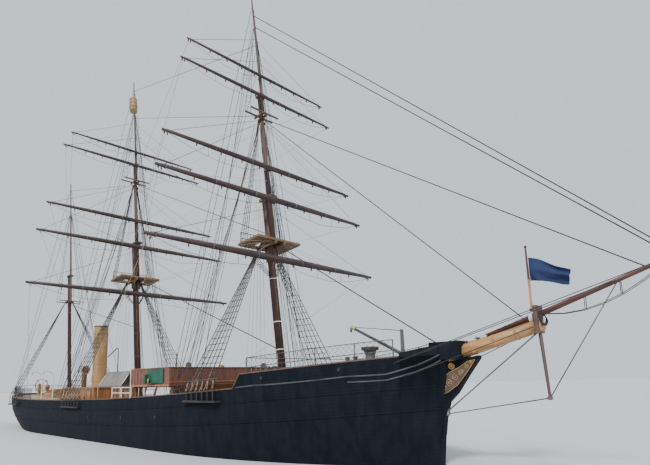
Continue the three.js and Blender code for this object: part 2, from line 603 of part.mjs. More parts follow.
function squareMast(name, m) {
  const topmast = (grow) =>
    pole(m.topmastX, m.topmastHeel - grow, m.topmastCap, m.topmastR + grow, m.topmastEndR + grow);
  const gallant = (grow) => pole(m.poleX, m.poleHeel - grow, m.truck, m.poleR + grow, m.poleEndR + grow, 12);
  const mastR = lowerRadius(m, m.top);
  const cheekY = mastR + 45;
  const cheeks = (grow) =>
    box([-60 - grow, -cheekY - grow, m.top - 420], [110 + grow, cheekY + grow, m.top - 160 + grow]);
  const capY = m.lowerEndR + 35;
  const topmastCapY = m.topmastEndR + 32;
  const lower = joined([
    pole(0, m.foot, m.cap, m.lowerR, m.lowerEndR),
    cheeks(0),
    box([-m.lowerEndR - 40, -capY, m.cap - 90], [m.topmastX + m.topmastR + 130, capY, m.cap - 1]),
    ...seatsOn(m, name, ["cap pin", "truss pin"]),
  ]);
  putOnMast(m, name + "_lower_mast", lower.subtract(m.underDecks).subtract(topmast(GAP)), BROWN_SPAR);
  const capAhead = m.poleX + m.poleR + 32;
  const upper = joined([
    topmast(0),
    box([m.topmastX - m.topmastEndR - 30, -topmastCapY, m.topmastCap - 60],
      [capAhead, topmastCapY, m.topmastCap - 1]),
    ...seatsOn(m, name, ["topmast"]),
  ]);
  putOnMast(m, name + "_topmast", upper.subtract(gallant(GAP)), BROWN_SPAR);
  const polePiece = joined([gallant(0), ...seatsOn(m, name, ["pole"])]).subtract(topmast(GAP));
  putOnMast(m, name + "_topgallant_mast", polePiece, BROWN_SPAR);

  // The top: a platform wider than long on two trestle trees, with a hole each side for the shrouds
  const trestleY = mastR + 60;
  const holes = [-1, 1].map((side) => {
    const edges = [side * (mastR + 90), side * (mastR + 380)].sort((a, b) => a - b);
    return box([-330, edges[0], m.top - 100], [40, edges[1], m.top + 10]);
  });
  const trestles = [-1, 1].map((side) =>
    box([-420, side * trestleY - 26, m.top - 150], [520, side * trestleY + 26, m.top - 30]));
  const top = joined([box([-480, -900, m.top - 50], [480, 900, m.top]), ...trestles])
    .subtract(joined(holes))
    .subtract(pole(0, m.foot, m.cap, m.lowerR + GAP, m.lowerEndR + GAP))
    .subtract(topmast(GAP))
    .subtract(stayFork(m, 30));
  putOnMast(m, name + "_top", top.subtract(cheeks(GAP)), TAN_WOOD);

  // The crosstrees: two arms across on two short trestles
  const treeZ = m.crosstrees;
  const trees = joined([
    ...[-topmastCapY, topmastCapY].map((y) =>
      box([m.topmastX - 230, y - 22, treeZ - 90], [m.poleX + 110, y + 22, treeZ - 20])),
    ...[m.topmastX - 130, m.poleX + m.poleR - 6].map((x) =>
      box([x, -620, treeZ - 50], [x + 45, 620, treeZ])),
  ]);
  putOnMast(m, name + "_crosstrees", trees.subtract(topmast(GAP)).subtract(gallant(GAP)), BROWN_SPAR);
}

squareMast("fore", MASTS.fore);
squareMast("main", MASTS.main);

function mizzenMast(m) {
  const topmast = (grow) =>
    pole(m.topmastX, m.topmastHeel, m.truck, m.topmastR + grow, m.topmastEndR + grow, 12);
  const capY = m.lowerEndR + 30;
  const lower = pole(0, m.foot, m.cap, m.lowerR, m.lowerEndR)
    .add(box([-capY, -capY, m.cap - 70], [m.topmastX + m.topmastR + 30, capY, m.cap - 1]));
  putOnMast(m, "mizzen_lower_mast", lower.subtract(m.underDecks).subtract(topmast(GAP)), BROWN_SPAR);
  putOnMast(m, "mizzen_topmast", topmast(0), BROWN_SPAR);
  const reach = m.lowerR + 9;
  const trees = joined([
    ...[-reach, reach].map((y) => box([-190, y - 20, m.top - 80], [300, y + 20, m.top - 15])),
    ...[-165, m.topmastX + m.topmastR + 20].map((x) => box([x, -640, m.top - 40], [x + 40, 640, m.top])),
  ]);
  const passing = topmast(GAP).add(pole(0, m.foot, m.cap, m.lowerR + GAP, m.lowerEndR + GAP));
  putOnMast(m, "mizzen_crosstrees", trees.subtract(passing), BROWN_SPAR);
}

mizzenMast(MASTS.mizzen);

for (const yard of YARDS) {
  const m = MASTS[yard.mast];
  m.group.add(piece(yard.mast + "_" + yard.sail + "_yard", yardBody(m, yard), BROWN_SPAR));
}

// Rigging that carries the masts: a fan of shrouds on each side, from a half collar on the masthead to posts
// on a channel outside the hull. On the mizzen the collar lies on the trestles of the crosstrees.
const inWorld = (m, x, y, z) => v3(x, y, z).applyMatrix4(m.toWorld);
const hullSkin = hullBody(GAP);
const SHROUD_R = 13;
const POST_Y = 2650;
const CHANNEL_OUT_Y = 2700;
const CHANNEL_BELOW_RAIL = 250;
const POST_ABOVE_RAIL = 170;

// Mast, first chain plate's x, number of shrouds, their spacing, reach of the collar past the mast, its x
const SHROUDS = [
  ["fore", 8050, 6, 250, 112, -100],
  ["main", -700, 6, 280, 112, -100],
  ["mizzen", -7800, 4, 320, 62, -40],
].map(([mast, firstX, count, spacing, reach, collarX]) => ({ mast, firstX, count, spacing, reach, collarX }));

function shroudFan({ mast, firstX, count, spacing, reach, collarX }, side) {
  const m = MASTS[mast];
  const headZ = m.top + 60;
  const mastR = lowerRadius(m, m.top);
  const lastX = firstX - (count - 1) * spacing;
  const channelZ = RAIL_TOP((firstX + lastX) / 2) - CHANNEL_BELOW_RAIL;
  const span = (a, b) => [Math.min(side * a, side * b), Math.max(side * a, side * b)];
  const [innerY, outerY] = span(2000, CHANNEL_OUT_Y);
  const channel = box([lastX - 130, innerY, channelZ - 25], [firstX + 130, outerY, channelZ + 25])
    .subtract(hullSkin);
  const [collarIn, collarOut] = span(0, mastR + reach + SHROUD_R + 8);
  const collar = box([collarX - 70, collarIn, m.top + GAP], [collarX + 70 + SHROUD_R, collarOut, m.top + 75])
    .subtract(box([-FAR, -1, 0], [FAR, 1, FAR * 2]))
    .subtract(pole(0, m.foot, m.cap, m.lowerR + GAP, m.lowerEndR + GAP))
    .transform(m.toWorld.elements);
  const shrouds = [];
  for (let i = 0; i < count; i++) {
    const x = firstX - i * spacing;
    const head = inWorld(m, collarX - 10 * i, side * (mastR + reach), headZ);
    const post = v3(x, side * POST_Y, RAIL_TOP(x) + POST_ABOVE_RAIL);
    shrouds.push(bar(v3(x, side * POST_Y, channelZ - 10), post, 16, 16, 6));
    shrouds.push(bar(post.clone().add(v3(0, 0, -12)), head, SHROUD_R, SHROUD_R, 5));
  }
  return joined([channel, collar, ...shrouds]);
}

for (const row of SHROUDS) {
  for (const [sideName, side] of [["starboard", -1], ["port", 1]]) {
    put(row.mast + "_shrouds_" + sideName, shroudFan(row, side), TARRED, 0.8);
  }
}

// Stays: straight ropes from the masts to the bow or the mast ahead, cut where they meet what holds them
const mastSkins = {};
for (const [name, m] of Object.entries(MASTS)) {
  const skins = [pole(0, m.foot, m.cap, m.lowerR + GAP, m.lowerEndR + GAP)];
  skins.push(pole(m.topmastX, m.topmastHeel, m.topmastCap ?? m.truck, m.topmastR + GAP, m.topmastEndR + GAP));
  if (m.poleX) skins.push(pole(m.poleX, m.poleHeel, m.truck, m.poleR + GAP, m.poleEndR + GAP, 12));
  mastSkins[name] = joined(skins).transform(m.toWorld.elements);
}
const STAY_R = 13;
const stay = (from, to, radius = STAY_R) => bar(from, to, radius, radius, 6);

// A band round a mast that a stay is spliced to.
function mastBand(m, x, z, radius, height = 50) {
  const low = v3(x, 0, z - height / 2);
  return ring(radius + 1, radius + 16, height, low, v3(0, 0, 1), 14).transform(m.toWorld.elements);
}

const jibBoomAxis = JIB_BOOM_TIP.clone().sub(JIB_BOOM_HEEL).normalize();
const onJibBoom = (back) => JIB_BOOM_TIP.clone().addScaledVector(jibBoomAxis, -back);
function jibBoomBand(fromTip, toTip) {
  const length = JIB_BOOM_TIP.distanceTo(JIB_BOOM_HEEL);
  const radius = radiusAt(length - toTip, 0, length, JIB_BOOM_R, JIB_BOOM_TIP_R);
  return ring(radius + 2, radius + 18, toTip - fromTip, onJibBoom(toTip), jibBoomAxis, 12);
}

const { fore, main } = MASTS;
// A lower stay with its fork and the band on the masthead, down to where it is made fast.
function lowerStay(m, foot) {
  const { z, x, drop } = m.stay;
  return joined([
    stayFork(m, 16).transform(m.toWorld.elements),
    mastBand(m, 0, z, lowerRadius(m, z)),
    stay(inWorld(m, x - 8, 0, z - drop), foot, 16),
  ]).subtract(mastSkins.fore).subtract(mastSkins.main);
}

const FORE_STAY_X = 13240;
const foreStay = lowerStay(fore, v3(FORE_STAY_X, 0, CHOCK.top - 10))
  .subtract(box([CHOCK.aft, -CHOCK.half, CHOCK.low], [CHOCK.fore, CHOCK.half, CHOCK.top + GAP]));
put("fore_stay", foreStay, TARRED, 0.8);

const HEAD_DROP = 125; // the stays from a topmast leave it this far under its crosstrees
const INNER_STAY_BACK = 2940; // where the stays end, measured back from the tip of the jib-boom
const OUTER_STAY_BACK = 600;
const GALLANT_STAYS = [[15200, 90], [14700, 175]]; // height on the mast, and back from the tip
const jibHeadZ = fore.crosstrees - HEAD_DROP;
const foreTopmastStays = joined([
  stay(inWorld(fore, fore.topmastX, 0, jibHeadZ), onJibBoom(INNER_STAY_BACK)),
  stay(inWorld(fore, fore.topmastX, 0, jibHeadZ + 15), onJibBoom(OUTER_STAY_BACK)),
  mastBand(fore, fore.topmastX, jibHeadZ - 70, topmastRadius(fore, jibHeadZ), 90),
]).subtract(mastSkins.fore).subtract(jibBoom(GAP)).subtract(bowsprit(GAP));
put("fore_topmast_stays", foreTopmastStays, TARRED, 0.8);

const foreTopgallantStays = joined([
  ...GALLANT_STAYS.map(([z, back]) => stay(inWorld(fore, fore.poleX, 0, z), onJibBoom(back))),
  jibBoomBand(50, 230),
]).subtract(mastSkins.fore).subtract(jibBoom(GAP));
put("fore_topgallant_stays", foreTopgallantStays, TARRED, 0.8);

put("main_stay", lowerStay(main, inWorld(fore, 0, 0, 2950)), TARRED, 0.8);

const mainTopmastHead = inWorld(main, main.topmastX, 0, main.crosstrees - HEAD_DROP);
const mainTopmastStay = stay(mainTopmastHead, inWorld(fore, 0, 0, fore.top + 330))
  .subtract(mastSkins.main).subtract(mastSkins.fore);
put("main_topmast_stay", mainTopmastStay, TARRED, 0.8);

const { mizzen } = MASTS;
const mizzenStay = stay(inWorld(mizzen, 0, 0, mizzen.topmastHeel - 60), inWorld(main, 0, 0, 4450))
  .subtract(mastSkins.mizzen).subtract(mastSkins.main);
put("mizzen_stay", mizzenStay, TARRED, 0.8);

// Bobstay and martingale: rods from the stem and the dolphin striker to the spars above
const STEM_EYE_X = 13420;
const strikerRing = v3(STRIKER_END.x - 2, 0, STRIKER_END.z + 10);
const strikerEye = v3(STRIKER_END.x, 0, STRIKER_END.z + 40);
const bobstays = joined([
  bar(v3(STEM_EYE_X, 0, 1250), v3(CAP_X - CAP_BLOCK.half, 0, CAP_BLOCK.low + 20), 16, 16, 6),
  bar(strikerEye, onJibBoom(1100), 12, 12, 6),
  bar(strikerEye, v3(STEM_EYE_X, 0, 1180), 12, 12, 6),
  ring(33, 52, 60, strikerRing, v3(0, 0, 1), 12),
  box([STEM_EYE_X - 120, -30, 1140], [STEM_EYE_X + 20, 30, 1290]),
]);
const knee = sidePlate(KNEE_OUTLINE, 0, KNEE_THICKNESS + 2 * GAP);
const bobstayCuts = [jibBoom(GAP), bowsprit(GAP), hullBody(GAP), capBlock(GAP), striker(GAP), knee];
bobstayCuts.push(knee.translate(GAP, 0, 0));
put("bobstays", bobstays.subtract(joined(bobstayCuts)), IRON_GREY, 0.5, 0.6);

// Crow's nest: a barrel open at the top, which the main topgallant mast passes through near its fore side
const NEST = { z: 15090, height: 730, radius: 190, wall: 22, aft: 100 };
const nestX = main.poleX - NEST.aft;
const nest = turned(
  [[0, 0], [NEST.radius * 0.88, 0], [NEST.radius, NEST.height / 2], [NEST.radius * 0.9, NEST.height],
    [NEST.radius * 0.9 - NEST.wall, NEST.height], [NEST.radius - NEST.wall, NEST.height / 2],
    [NEST.radius * 0.88 - NEST.wall, NEST.wall], [0, NEST.wall]],
  v3(nestX, 0, NEST.z), v3(0, 0, 1), 14,
);
const nestBand = ring(poleRadius(main, NEST.z) - 4, poleRadius(main, NEST.z) + 20, 45,
  v3(main.poleX, 0, NEST.z - 40), v3(0, 0, 1), 14);
const mainPole = pole(main.poleX, main.poleHeel, main.truck, main.poleR + GAP, main.poleEndR + GAP, 12);
putOnMast(main, "crows_nest", nest.add(nestBand).subtract(mainPole), TAN_WOOD, 0.8);

// Bridge: a platform across the ship with a boarded breastwork, on a varnished deckhouse and four posts
const BRIDGE = { aft: 3350, fore: 5700, half: 2540, floor: 1985, thick: 50, breast: 490, board: 30 };
function bridgeBody() {
  const { aft, fore: front, half, floor, thick, breast, board } = BRIDGE;
  const top = floor + breast;
  const walls = [
    box([front - board, -half, floor - thick], [front, half, top]),
    ...[-1, 1].map((side) => {
      const [low, high] = [side * half, side * (half - board)].sort((a, b) => a - b);
      return box([aft, low, floor - thick], [front, high, top]);
    }),
  ];
  const posts = [aft + 60, front - 60].flatMap((x) =>
    [-1, 1].map((side) => box([x - 30, side * 2380 - 30, 600], [x + 30, side * 2380 + 30, floor - 10])));
  return joined([box([aft, -half, floor - thick], [front, half, floor]), ...walls, ...posts.map(stood)]);
}
put("bridge", bridgeBody(), RED_BROWN, 0.6);
const bridgeUnder = BRIDGE.floor - BRIDGE.thick - GAP;
put("bridge_house", stood(box([3500, -1150, 600], [5450, 1150, bridgeUnder])), OCHRE_SPAR, 0.5);

// Hatch between the bridge and the mainmast, house round the funnel, and the skylight on the poop
put("hatch", stood(box([1300, -700, 600], [2700, 700, 1130])), TAN_WOOD, 0.8);
const HOUSE = { aft: -6000, fore: -2600, half: 1150, top: 1900 };
const FUNNEL = { x: -4700, radius: 325, top: 4790 };
const afterHouse = box([HOUSE.aft, -HOUSE.half, 500], [HOUSE.fore, HOUSE.half, HOUSE.top]);
put("after_house", stood(afterHouse), OCHRE_SPAR, 0.6);
const flue = (low, high, radius) => bar(v3(FUNNEL.x, 0, low), v3(FUNNEL.x, 0, high), radius, radius, 28);
const funnel = flue(HOUSE.top + GAP, FUNNEL.top, FUNNEL.radius)
  .subtract(flue(FUNNEL.top - 600, FUNNEL.top + 10, FUNNEL.radius - 25));
put("funnel", funnel, FUNNEL_BUFF, 0.6);

const COWL = { x: -5700, y: -300, mouthZ: 2720, radius: 120 };
const cowlBack = v3(COWL.x - 40, COWL.y, COWL.mouthZ);
const cowlAxis = v3(1, 0, 0.1);
const cowl = joined([
  bar(v3(COWL.x, COWL.y, HOUSE.top + GAP), v3(COWL.x, COWL.y, COWL.mouthZ), COWL.radius, COWL.radius, 16),
  turned([[0, -60], [130, -60], [190, 60], [205, 250], [0, 250]], cowlBack, cowlAxis, 16),
]).subtract(turned([[0, 60], [150, 120], [190, 251], [0, 251]], cowlBack, cowlAxis, 16));
put("cowl_ventilator", cowl, FUNNEL_BUFF, 0.6);

const skylight = new THREE.Shape([[-420, 0], [420, 0], [420, 330], [0, 560], [-420, 330]]
  .map(([y, z]) => new THREE.Vector2(y, z)));
const skylightSolid = solidOf(
  new THREE.ExtrudeGeometry(skylight, { depth: 1300, bevelEnabled: false })
    .rotateX(Math.PI / 2).rotateZ(Math.PI / 2).translate(-10650, 0, 1300));
put("skylight", stood(skylightSolid), TAN_WOOD, 0.7);

// Steering wheel on its pedestal
const WHEEL = { x: -12250, z: 2080, radius: 360 };
const pedestal = stood(box([WHEEL.x - 330, -110, 1300], [WHEEL.x - 90, 110, WHEEL.z + 90]))
  .add(bar(v3(WHEEL.x - 100, 0, WHEEL.z), v3(WHEEL.x + 60, 0, WHEEL.z), 20, 20, 12));
const wheelHub = ring(21, 60, 90, v3(WHEEL.x - 45, 0, WHEEL.z), v3(1, 0, 0), 16);
const wheelRim = ring(WHEEL.radius - 45, WHEEL.radius, 36, v3(WHEEL.x - 18, 0, WHEEL.z), v3(1, 0, 0), 20);
const spokes = Array.from({ length: 8 }, (_, i) => {
  const turn = (i * Math.PI) / 4;
  const out = v3(0, Math.cos(turn), Math.sin(turn));
  const along = (reach) => v3(WHEEL.x, 0, WHEEL.z).addScaledVector(out, reach);
  return bar(along(50), along(WHEEL.radius + 90), 12, 10, 4);
});
put("wheel_pedestal", pedestal, TAN_WOOD, 0.6);
put("steering_wheel", joined([wheelHub, wheelRim, ...spokes]), OCHRE_SPAR, 0.5);

// Capstan and anchor crane on their bedplates. The crane's boom slews with its post.
const CAPSTAN_PROFILE = [
  [0, 0], [230, 0], [235, 40], [150, 110], [120, 260], [165, 400], [225, 420], [225, 500], [0, 520],
];
put("capstan", turned(CAPSTAN_PROFILE, v3(CAPSTAN.x, 0, CAPSTAN.foot), v3(0, 0, 1), 16), IRON_GREY, 0.5, 0.5);

const CRANE_END = v3(10701, 0, 3392);
const crane = joined([
  bar(v3(CRANE.x, 0, CRANE.foot), v3(CRANE.x, 0, CRANE.head), 55, 42, 12),
  bar(v3(CRANE.x, 0, 2570), CRANE_END, 45, 34, 8),
  bar(v3(CRANE.x, 0, CRANE.head - 30), v3(CRANE_END.x + 59, 0, CRANE_END.z - 12), 10, 10, 5),
]);
put("anchor_crane", crane, IRON_GREY, 0.5, 0.5);

// Awning: a steep canvas tent over the starboard gangway, on a frame of poles. Its section lists y and z.
const AWNING = { aft: -700, fore: 1300, thick: 20 };
Object.assign(AWNING, { ridge: [-1500, 2490], out: [-1910, 1920], inner: [-1090, 1920] });
function awningSolid({ aft, fore: front, ridge, out, inner }, raise, high) {
  const outline = [[out[0], out[1] + raise], [inner[0], inner[1] + raise], [inner[0], inner[1] + high],
    [ridge[0], ridge[1] + high], [out[0], out[1] + high]];
  outline.splice(1, 0, [ridge[0], ridge[1] + raise]);
  const shape = new THREE.Shape(outline.map(([y, z]) => new THREE.Vector2(y, z)));
  const geometry = new THREE.ExtrudeGeometry(shape, { depth: front - aft, bevelEnabled: false });
  return solidOf(geometry.rotateX(Math.PI / 2).rotateZ(Math.PI / 2).translate(aft, 0, 0));
}
put("awning", awningSolid(AWNING, 0, AWNING.thick), CANVAS_GREY, 0.9);

const POLE_R = 17;
const [outY, innerY] = [AWNING.out[0] + 40, AWNING.inner[0] - 40];
const ridgePole = v3(0, AWNING.ridge[0], AWNING.ridge[1] - POLE_R);
const eaveZ = AWNING.out[1] + 30;
const awningEnds = [AWNING.aft + 60, AWNING.fore - 60];
const awningPole = (a, b) => bar(a, b, POLE_R, POLE_R, 8);
const awningFrame = joined([
  ...awningEnds.flatMap((x) => [outY, innerY].flatMap((y) => [
    awningPole(v3(x, y, 500), v3(x, y, eaveZ + 30)),
    awningPole(v3(x, y, eaveZ), ridgePole.clone().setX(x)),
  ])),
  awningPole(ridgePole.clone().setX(awningEnds[0]), ridgePole.clone().setX(awningEnds[1])),
  ...[outY, innerY].map((y) => awningPole(v3(awningEnds[0], y, eaveZ), v3(awningEnds[1], y, eaveZ))),
]).subtract(awningSolid(AWNING, -GAP, FAR));
put("awning_frame", stood(awningFrame), WHITE_PAINT, 0.5);

export default ship;
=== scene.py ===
import json
import math
import random

import bpy
from mathutils import Matrix, Vector
from mathutils.bvhtree import BVHTree


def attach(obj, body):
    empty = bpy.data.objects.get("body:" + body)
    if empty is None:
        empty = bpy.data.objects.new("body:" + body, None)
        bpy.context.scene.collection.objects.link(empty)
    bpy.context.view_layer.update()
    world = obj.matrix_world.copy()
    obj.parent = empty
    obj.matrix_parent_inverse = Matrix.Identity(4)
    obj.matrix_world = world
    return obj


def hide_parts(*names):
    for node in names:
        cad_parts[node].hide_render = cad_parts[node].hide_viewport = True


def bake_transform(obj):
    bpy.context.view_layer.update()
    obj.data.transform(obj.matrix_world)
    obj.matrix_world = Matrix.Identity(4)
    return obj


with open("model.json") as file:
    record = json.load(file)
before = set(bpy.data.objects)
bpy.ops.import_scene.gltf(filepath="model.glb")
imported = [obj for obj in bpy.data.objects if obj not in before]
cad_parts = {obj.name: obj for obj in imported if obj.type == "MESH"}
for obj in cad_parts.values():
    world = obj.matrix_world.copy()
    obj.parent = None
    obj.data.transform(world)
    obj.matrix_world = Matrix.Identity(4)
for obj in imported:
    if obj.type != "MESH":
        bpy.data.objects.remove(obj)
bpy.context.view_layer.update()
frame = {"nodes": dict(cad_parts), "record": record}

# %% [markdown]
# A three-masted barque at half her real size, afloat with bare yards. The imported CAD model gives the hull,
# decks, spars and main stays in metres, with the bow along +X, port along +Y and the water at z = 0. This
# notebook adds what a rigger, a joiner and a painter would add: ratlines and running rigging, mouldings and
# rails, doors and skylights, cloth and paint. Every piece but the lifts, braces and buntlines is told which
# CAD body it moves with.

bpy.ops.object.select_all(action="DESELECT")
scene = bpy.context.scene
dice = random.Random(8)
STARBOARD, PORT = -1, 1
SIDES = {STARBOARD: "starboard", PORT: "port"}
AHEAD, ATHWART, UP = Vector((1, 0, 0)), Vector((0, 1, 0)), Vector((0, 0, 1))

# %% [markdown]
# The camera is the photographer's, found by fitting a lens to the masts, yards, rail and bowsprit. It
# stands low on the starboard bow and looks up. The picture was cut from a larger one, so the lens is
# shifted.

# %% Place the camera
YAW, PITCH, ROLL = math.radians(45.27), math.radians(10.38), math.radians(-1.35)
EYE, FOCAL, SENSOR, SHIFT, FAR = (19.49, -10.935, 1.99), 28.54, 36, (0.0514, 0.0832), 500
forward = Vector((-math.sin(YAW) * math.cos(PITCH), math.cos(YAW) * math.cos(PITCH), math.sin(PITCH)))
level = Vector((math.cos(YAW), math.sin(YAW), 0))
upright = level.cross(forward)
across = level * math.cos(ROLL) + upright * math.sin(ROLL)
upward = upright * math.cos(ROLL) - level * math.sin(ROLL)
lens = bpy.data.cameras.new("camera")
lens.sensor_width, lens.lens, lens.clip_end = SENSOR, FOCAL, FAR
lens.shift_x, lens.shift_y = SHIFT
camera = bpy.data.objects.new("camera", lens)
aim = Matrix((across, upward, -forward)).transposed().to_4x4()
camera.matrix_world = Matrix.Translation(EYE) @ aim
scene.collection.objects.link(camera)
scene.camera = camera
print("camera at", tuple(round(x, 2) for x in camera.location))

# %% [markdown]
# A pale floor at the water's surface and a pale sky keep the black rigging readable. One broad sun from
# behind the photographer's left shoulder gives the spars a light and a dark side, and the sky fills the
# rest.

# %% Light the studio
FLOOR_SIZE, FLOOR_GREY, SKY_BLUE, SKY_STRENGTH = 400, (0.62, 0.64, 0.66, 1), (0.8, 0.87, 0.95, 1), 1.05
SUN_STRENGTH, SUN_COLOUR = 3.2, (1, 0.96, 0.9)
SUN_BREADTH, SUN_TILT, SUN_HEADING = (math.radians(angle) for angle in (9, 48, 28))
bpy.ops.mesh.primitive_plane_add(size=FLOOR_SIZE)
floor = bpy.context.object
floor.name = "floor"
floor_paint = bpy.data.materials.new("pale_floor")
floor_paint.use_nodes = True
floor_shader = floor_paint.node_tree.nodes["Principled BSDF"]
floor_shader.inputs["Base Color"].default_value = FLOOR_GREY
floor_shader.inputs["Roughness"].default_value = 0.7
floor.data.materials.append(floor_paint)
sky = bpy.data.worlds.new("pale_sky")
sky.use_nodes = True
glow = sky.node_tree.nodes["Background"]
glow.inputs["Color"].default_value = SKY_BLUE
glow.inputs["Strength"].default_value = SKY_STRENGTH
scene.world = sky
sun_light = bpy.data.lights.new("sun", "SUN")
sun_light.energy, sun_light.angle, sun_light.color = SUN_STRENGTH, SUN_BREADTH, SUN_COLOUR
sun = bpy.data.objects.new("sun", sun_light)
sun.rotation_euler = (SUN_TILT, 0, SUN_HEADING)
scene.collection.objects.link(sun)
print("one sun, one sky, one floor")

# %% [markdown]
# Paint and timber weather in two scales: broad stains that shift the colour, and fine grain that changes
# the shine and lifts the surface. One recipe makes every finish, with the grain stretched along the spar or
# plank. Noise in object space was chosen, because it needs no unwrapping of hundreds of small pieces.

# %% Mix a weathered finish
def added(tree, kind, **inputs):
    """A new node with some inputs set; an underscore stands for the space in an input's name."""
    node = tree.nodes.new("ShaderNode" + kind)
    for entry, value in inputs.items():
        node.inputs[entry.replace("_", " ")].default_value = value
    return node


def wired(tree, *wires):
    """Each wire names a node and its output, then the next node and its input."""
    for source, output, target, entry in wires:
        tree.links.new(source.outputs[output], target.inputs[entry])


def weathered(name, colour, stain, rough, metal=0.0, spread=(1, 1, 1), broad=3.0, fine=40.0, relief=0.004,
              gloss=0.5):
    finish = bpy.data.materials.new(name)
    finish.use_nodes = True
    tree = finish.node_tree
    shader = tree.nodes["Principled BSDF"]
    shader.inputs["Metallic"].default_value = metal
    shader.inputs["Specular IOR Level"].default_value = gloss
    place = added(tree, "TexCoord")
    stretch = added(tree, "Mapping", Scale=spread)
    clouds = added(tree, "TexNoise", Scale=broad, Detail=6)
    grain = added(tree, "TexNoise", Scale=fine, Detail=4)
    ramp = added(tree, "ValToRGB")
    for stop, where, shade in zip(ramp.color_ramp.elements, (0.36, 0.62), (stain, colour)):
        stop.position = where
        stop.color = (*shade, 1)
    shine = added(tree, "MapRange", To_Min=max(0.05, rough - 0.15), To_Max=min(1.0, rough + 0.15))
    bump = added(tree, "Bump", Strength=0.5, Distance=relief)
    wired(tree, (place, "Object", stretch, "Vector"), (stretch, "Vector", clouds, "Vector"),
          (stretch, "Vector", grain, "Vector"), (clouds, "Fac", ramp, "Fac"),
          (ramp, "Color", shader, "Base Color"), (grain, "Fac", shine, "Value"),
          (shine, "Result", shader, "Roughness"), (grain, "Fac", bump, "Height"),
          (bump, "Normal", shader, "Normal"))
    return finish

# %% [markdown]
# Planking is the same finish with seams. A brick pattern gives long planks with shifted butts; its mortar
# is the seam, a little darker and sunk. On the hull the planks follow the sheer, so height is measured from
# it.

# %% Lay seams into a finish
SHEER_LOW_X, SHEER_LOW_Z, SHEER_FORE, SHEER_AFT = -4.5, 1.41, 2.35e-3, 2.2e-3
SEAM_COLOUR = (0.005, 0.006, 0.008, 1)

def reckoned(tree, operation, first, second):
    """The result of a maths node fed by a socket and by a second socket or a number."""
    node = added(tree, "Math")
    node.operation = operation
    tree.links.new(first, node.inputs[0])
    if isinstance(second, float):
        node.inputs[1].default_value = second
    else:
        tree.links.new(second, node.inputs[1])
    return node.outputs["Value"]


def planked(finish, plank, row, seam, depth, up_the_side=False):
    tree = finish.node_tree
    shader = tree.nodes["Principled BSDF"]
    apart, again = added(tree, "SeparateXYZ"), added(tree, "CombineXYZ")
    wired(tree, (tree.nodes["Texture Coordinate"], "Object", apart, "Vector"), (apart, "X", again, "X"))
    rows = apart.outputs["Y"]
    if up_the_side:
        ahead = reckoned(tree, "SUBTRACT", apart.outputs["X"], SHEER_LOW_X)
        rise = reckoned(tree, "MULTIPLY", reckoned(tree, "MULTIPLY", ahead, ahead), SHEER_FORE)
        rows = reckoned(tree, "SUBTRACT", apart.outputs["Z"], rise)
    tree.links.new(rows, again.inputs["Y"])
    bricks = added(tree, "TexBrick", Scale=1, Brick_Width=plank, Row_Height=row, Mortar_Size=seam,
                   Mortar_Smooth=0.3)
    blend = added(tree, "Mix")
    blend.data_type = "RGBA"
    blend.inputs["B"].default_value = SEAM_COLOUR
    groove = added(tree, "Bump", Strength=0.8, Distance=depth)
    groove.invert = True
    wired(tree, (again, "Vector", bricks, "Vector"), (bricks, "Fac", blend, "Factor"),
          (tree.nodes["Color Ramp"], "Color", blend, "A"), (blend, "Result", shader, "Base Color"),
          (bricks, "Fac", groove, "Height"), (tree.nodes["Bump"], "Normal", groove, "Normal"),
          (groove, "Normal", shader, "Normal"))

# %% [markdown]
# These are the ship's finishes: a colour, the colour of its stains and a roughness. Each of the first
# fourteen bears the name of a material slot in the part's record, so a scene can repaint it; the rest have
# no slot, such as glass, bunting and gold leaf. The spread says which way the grain runs.

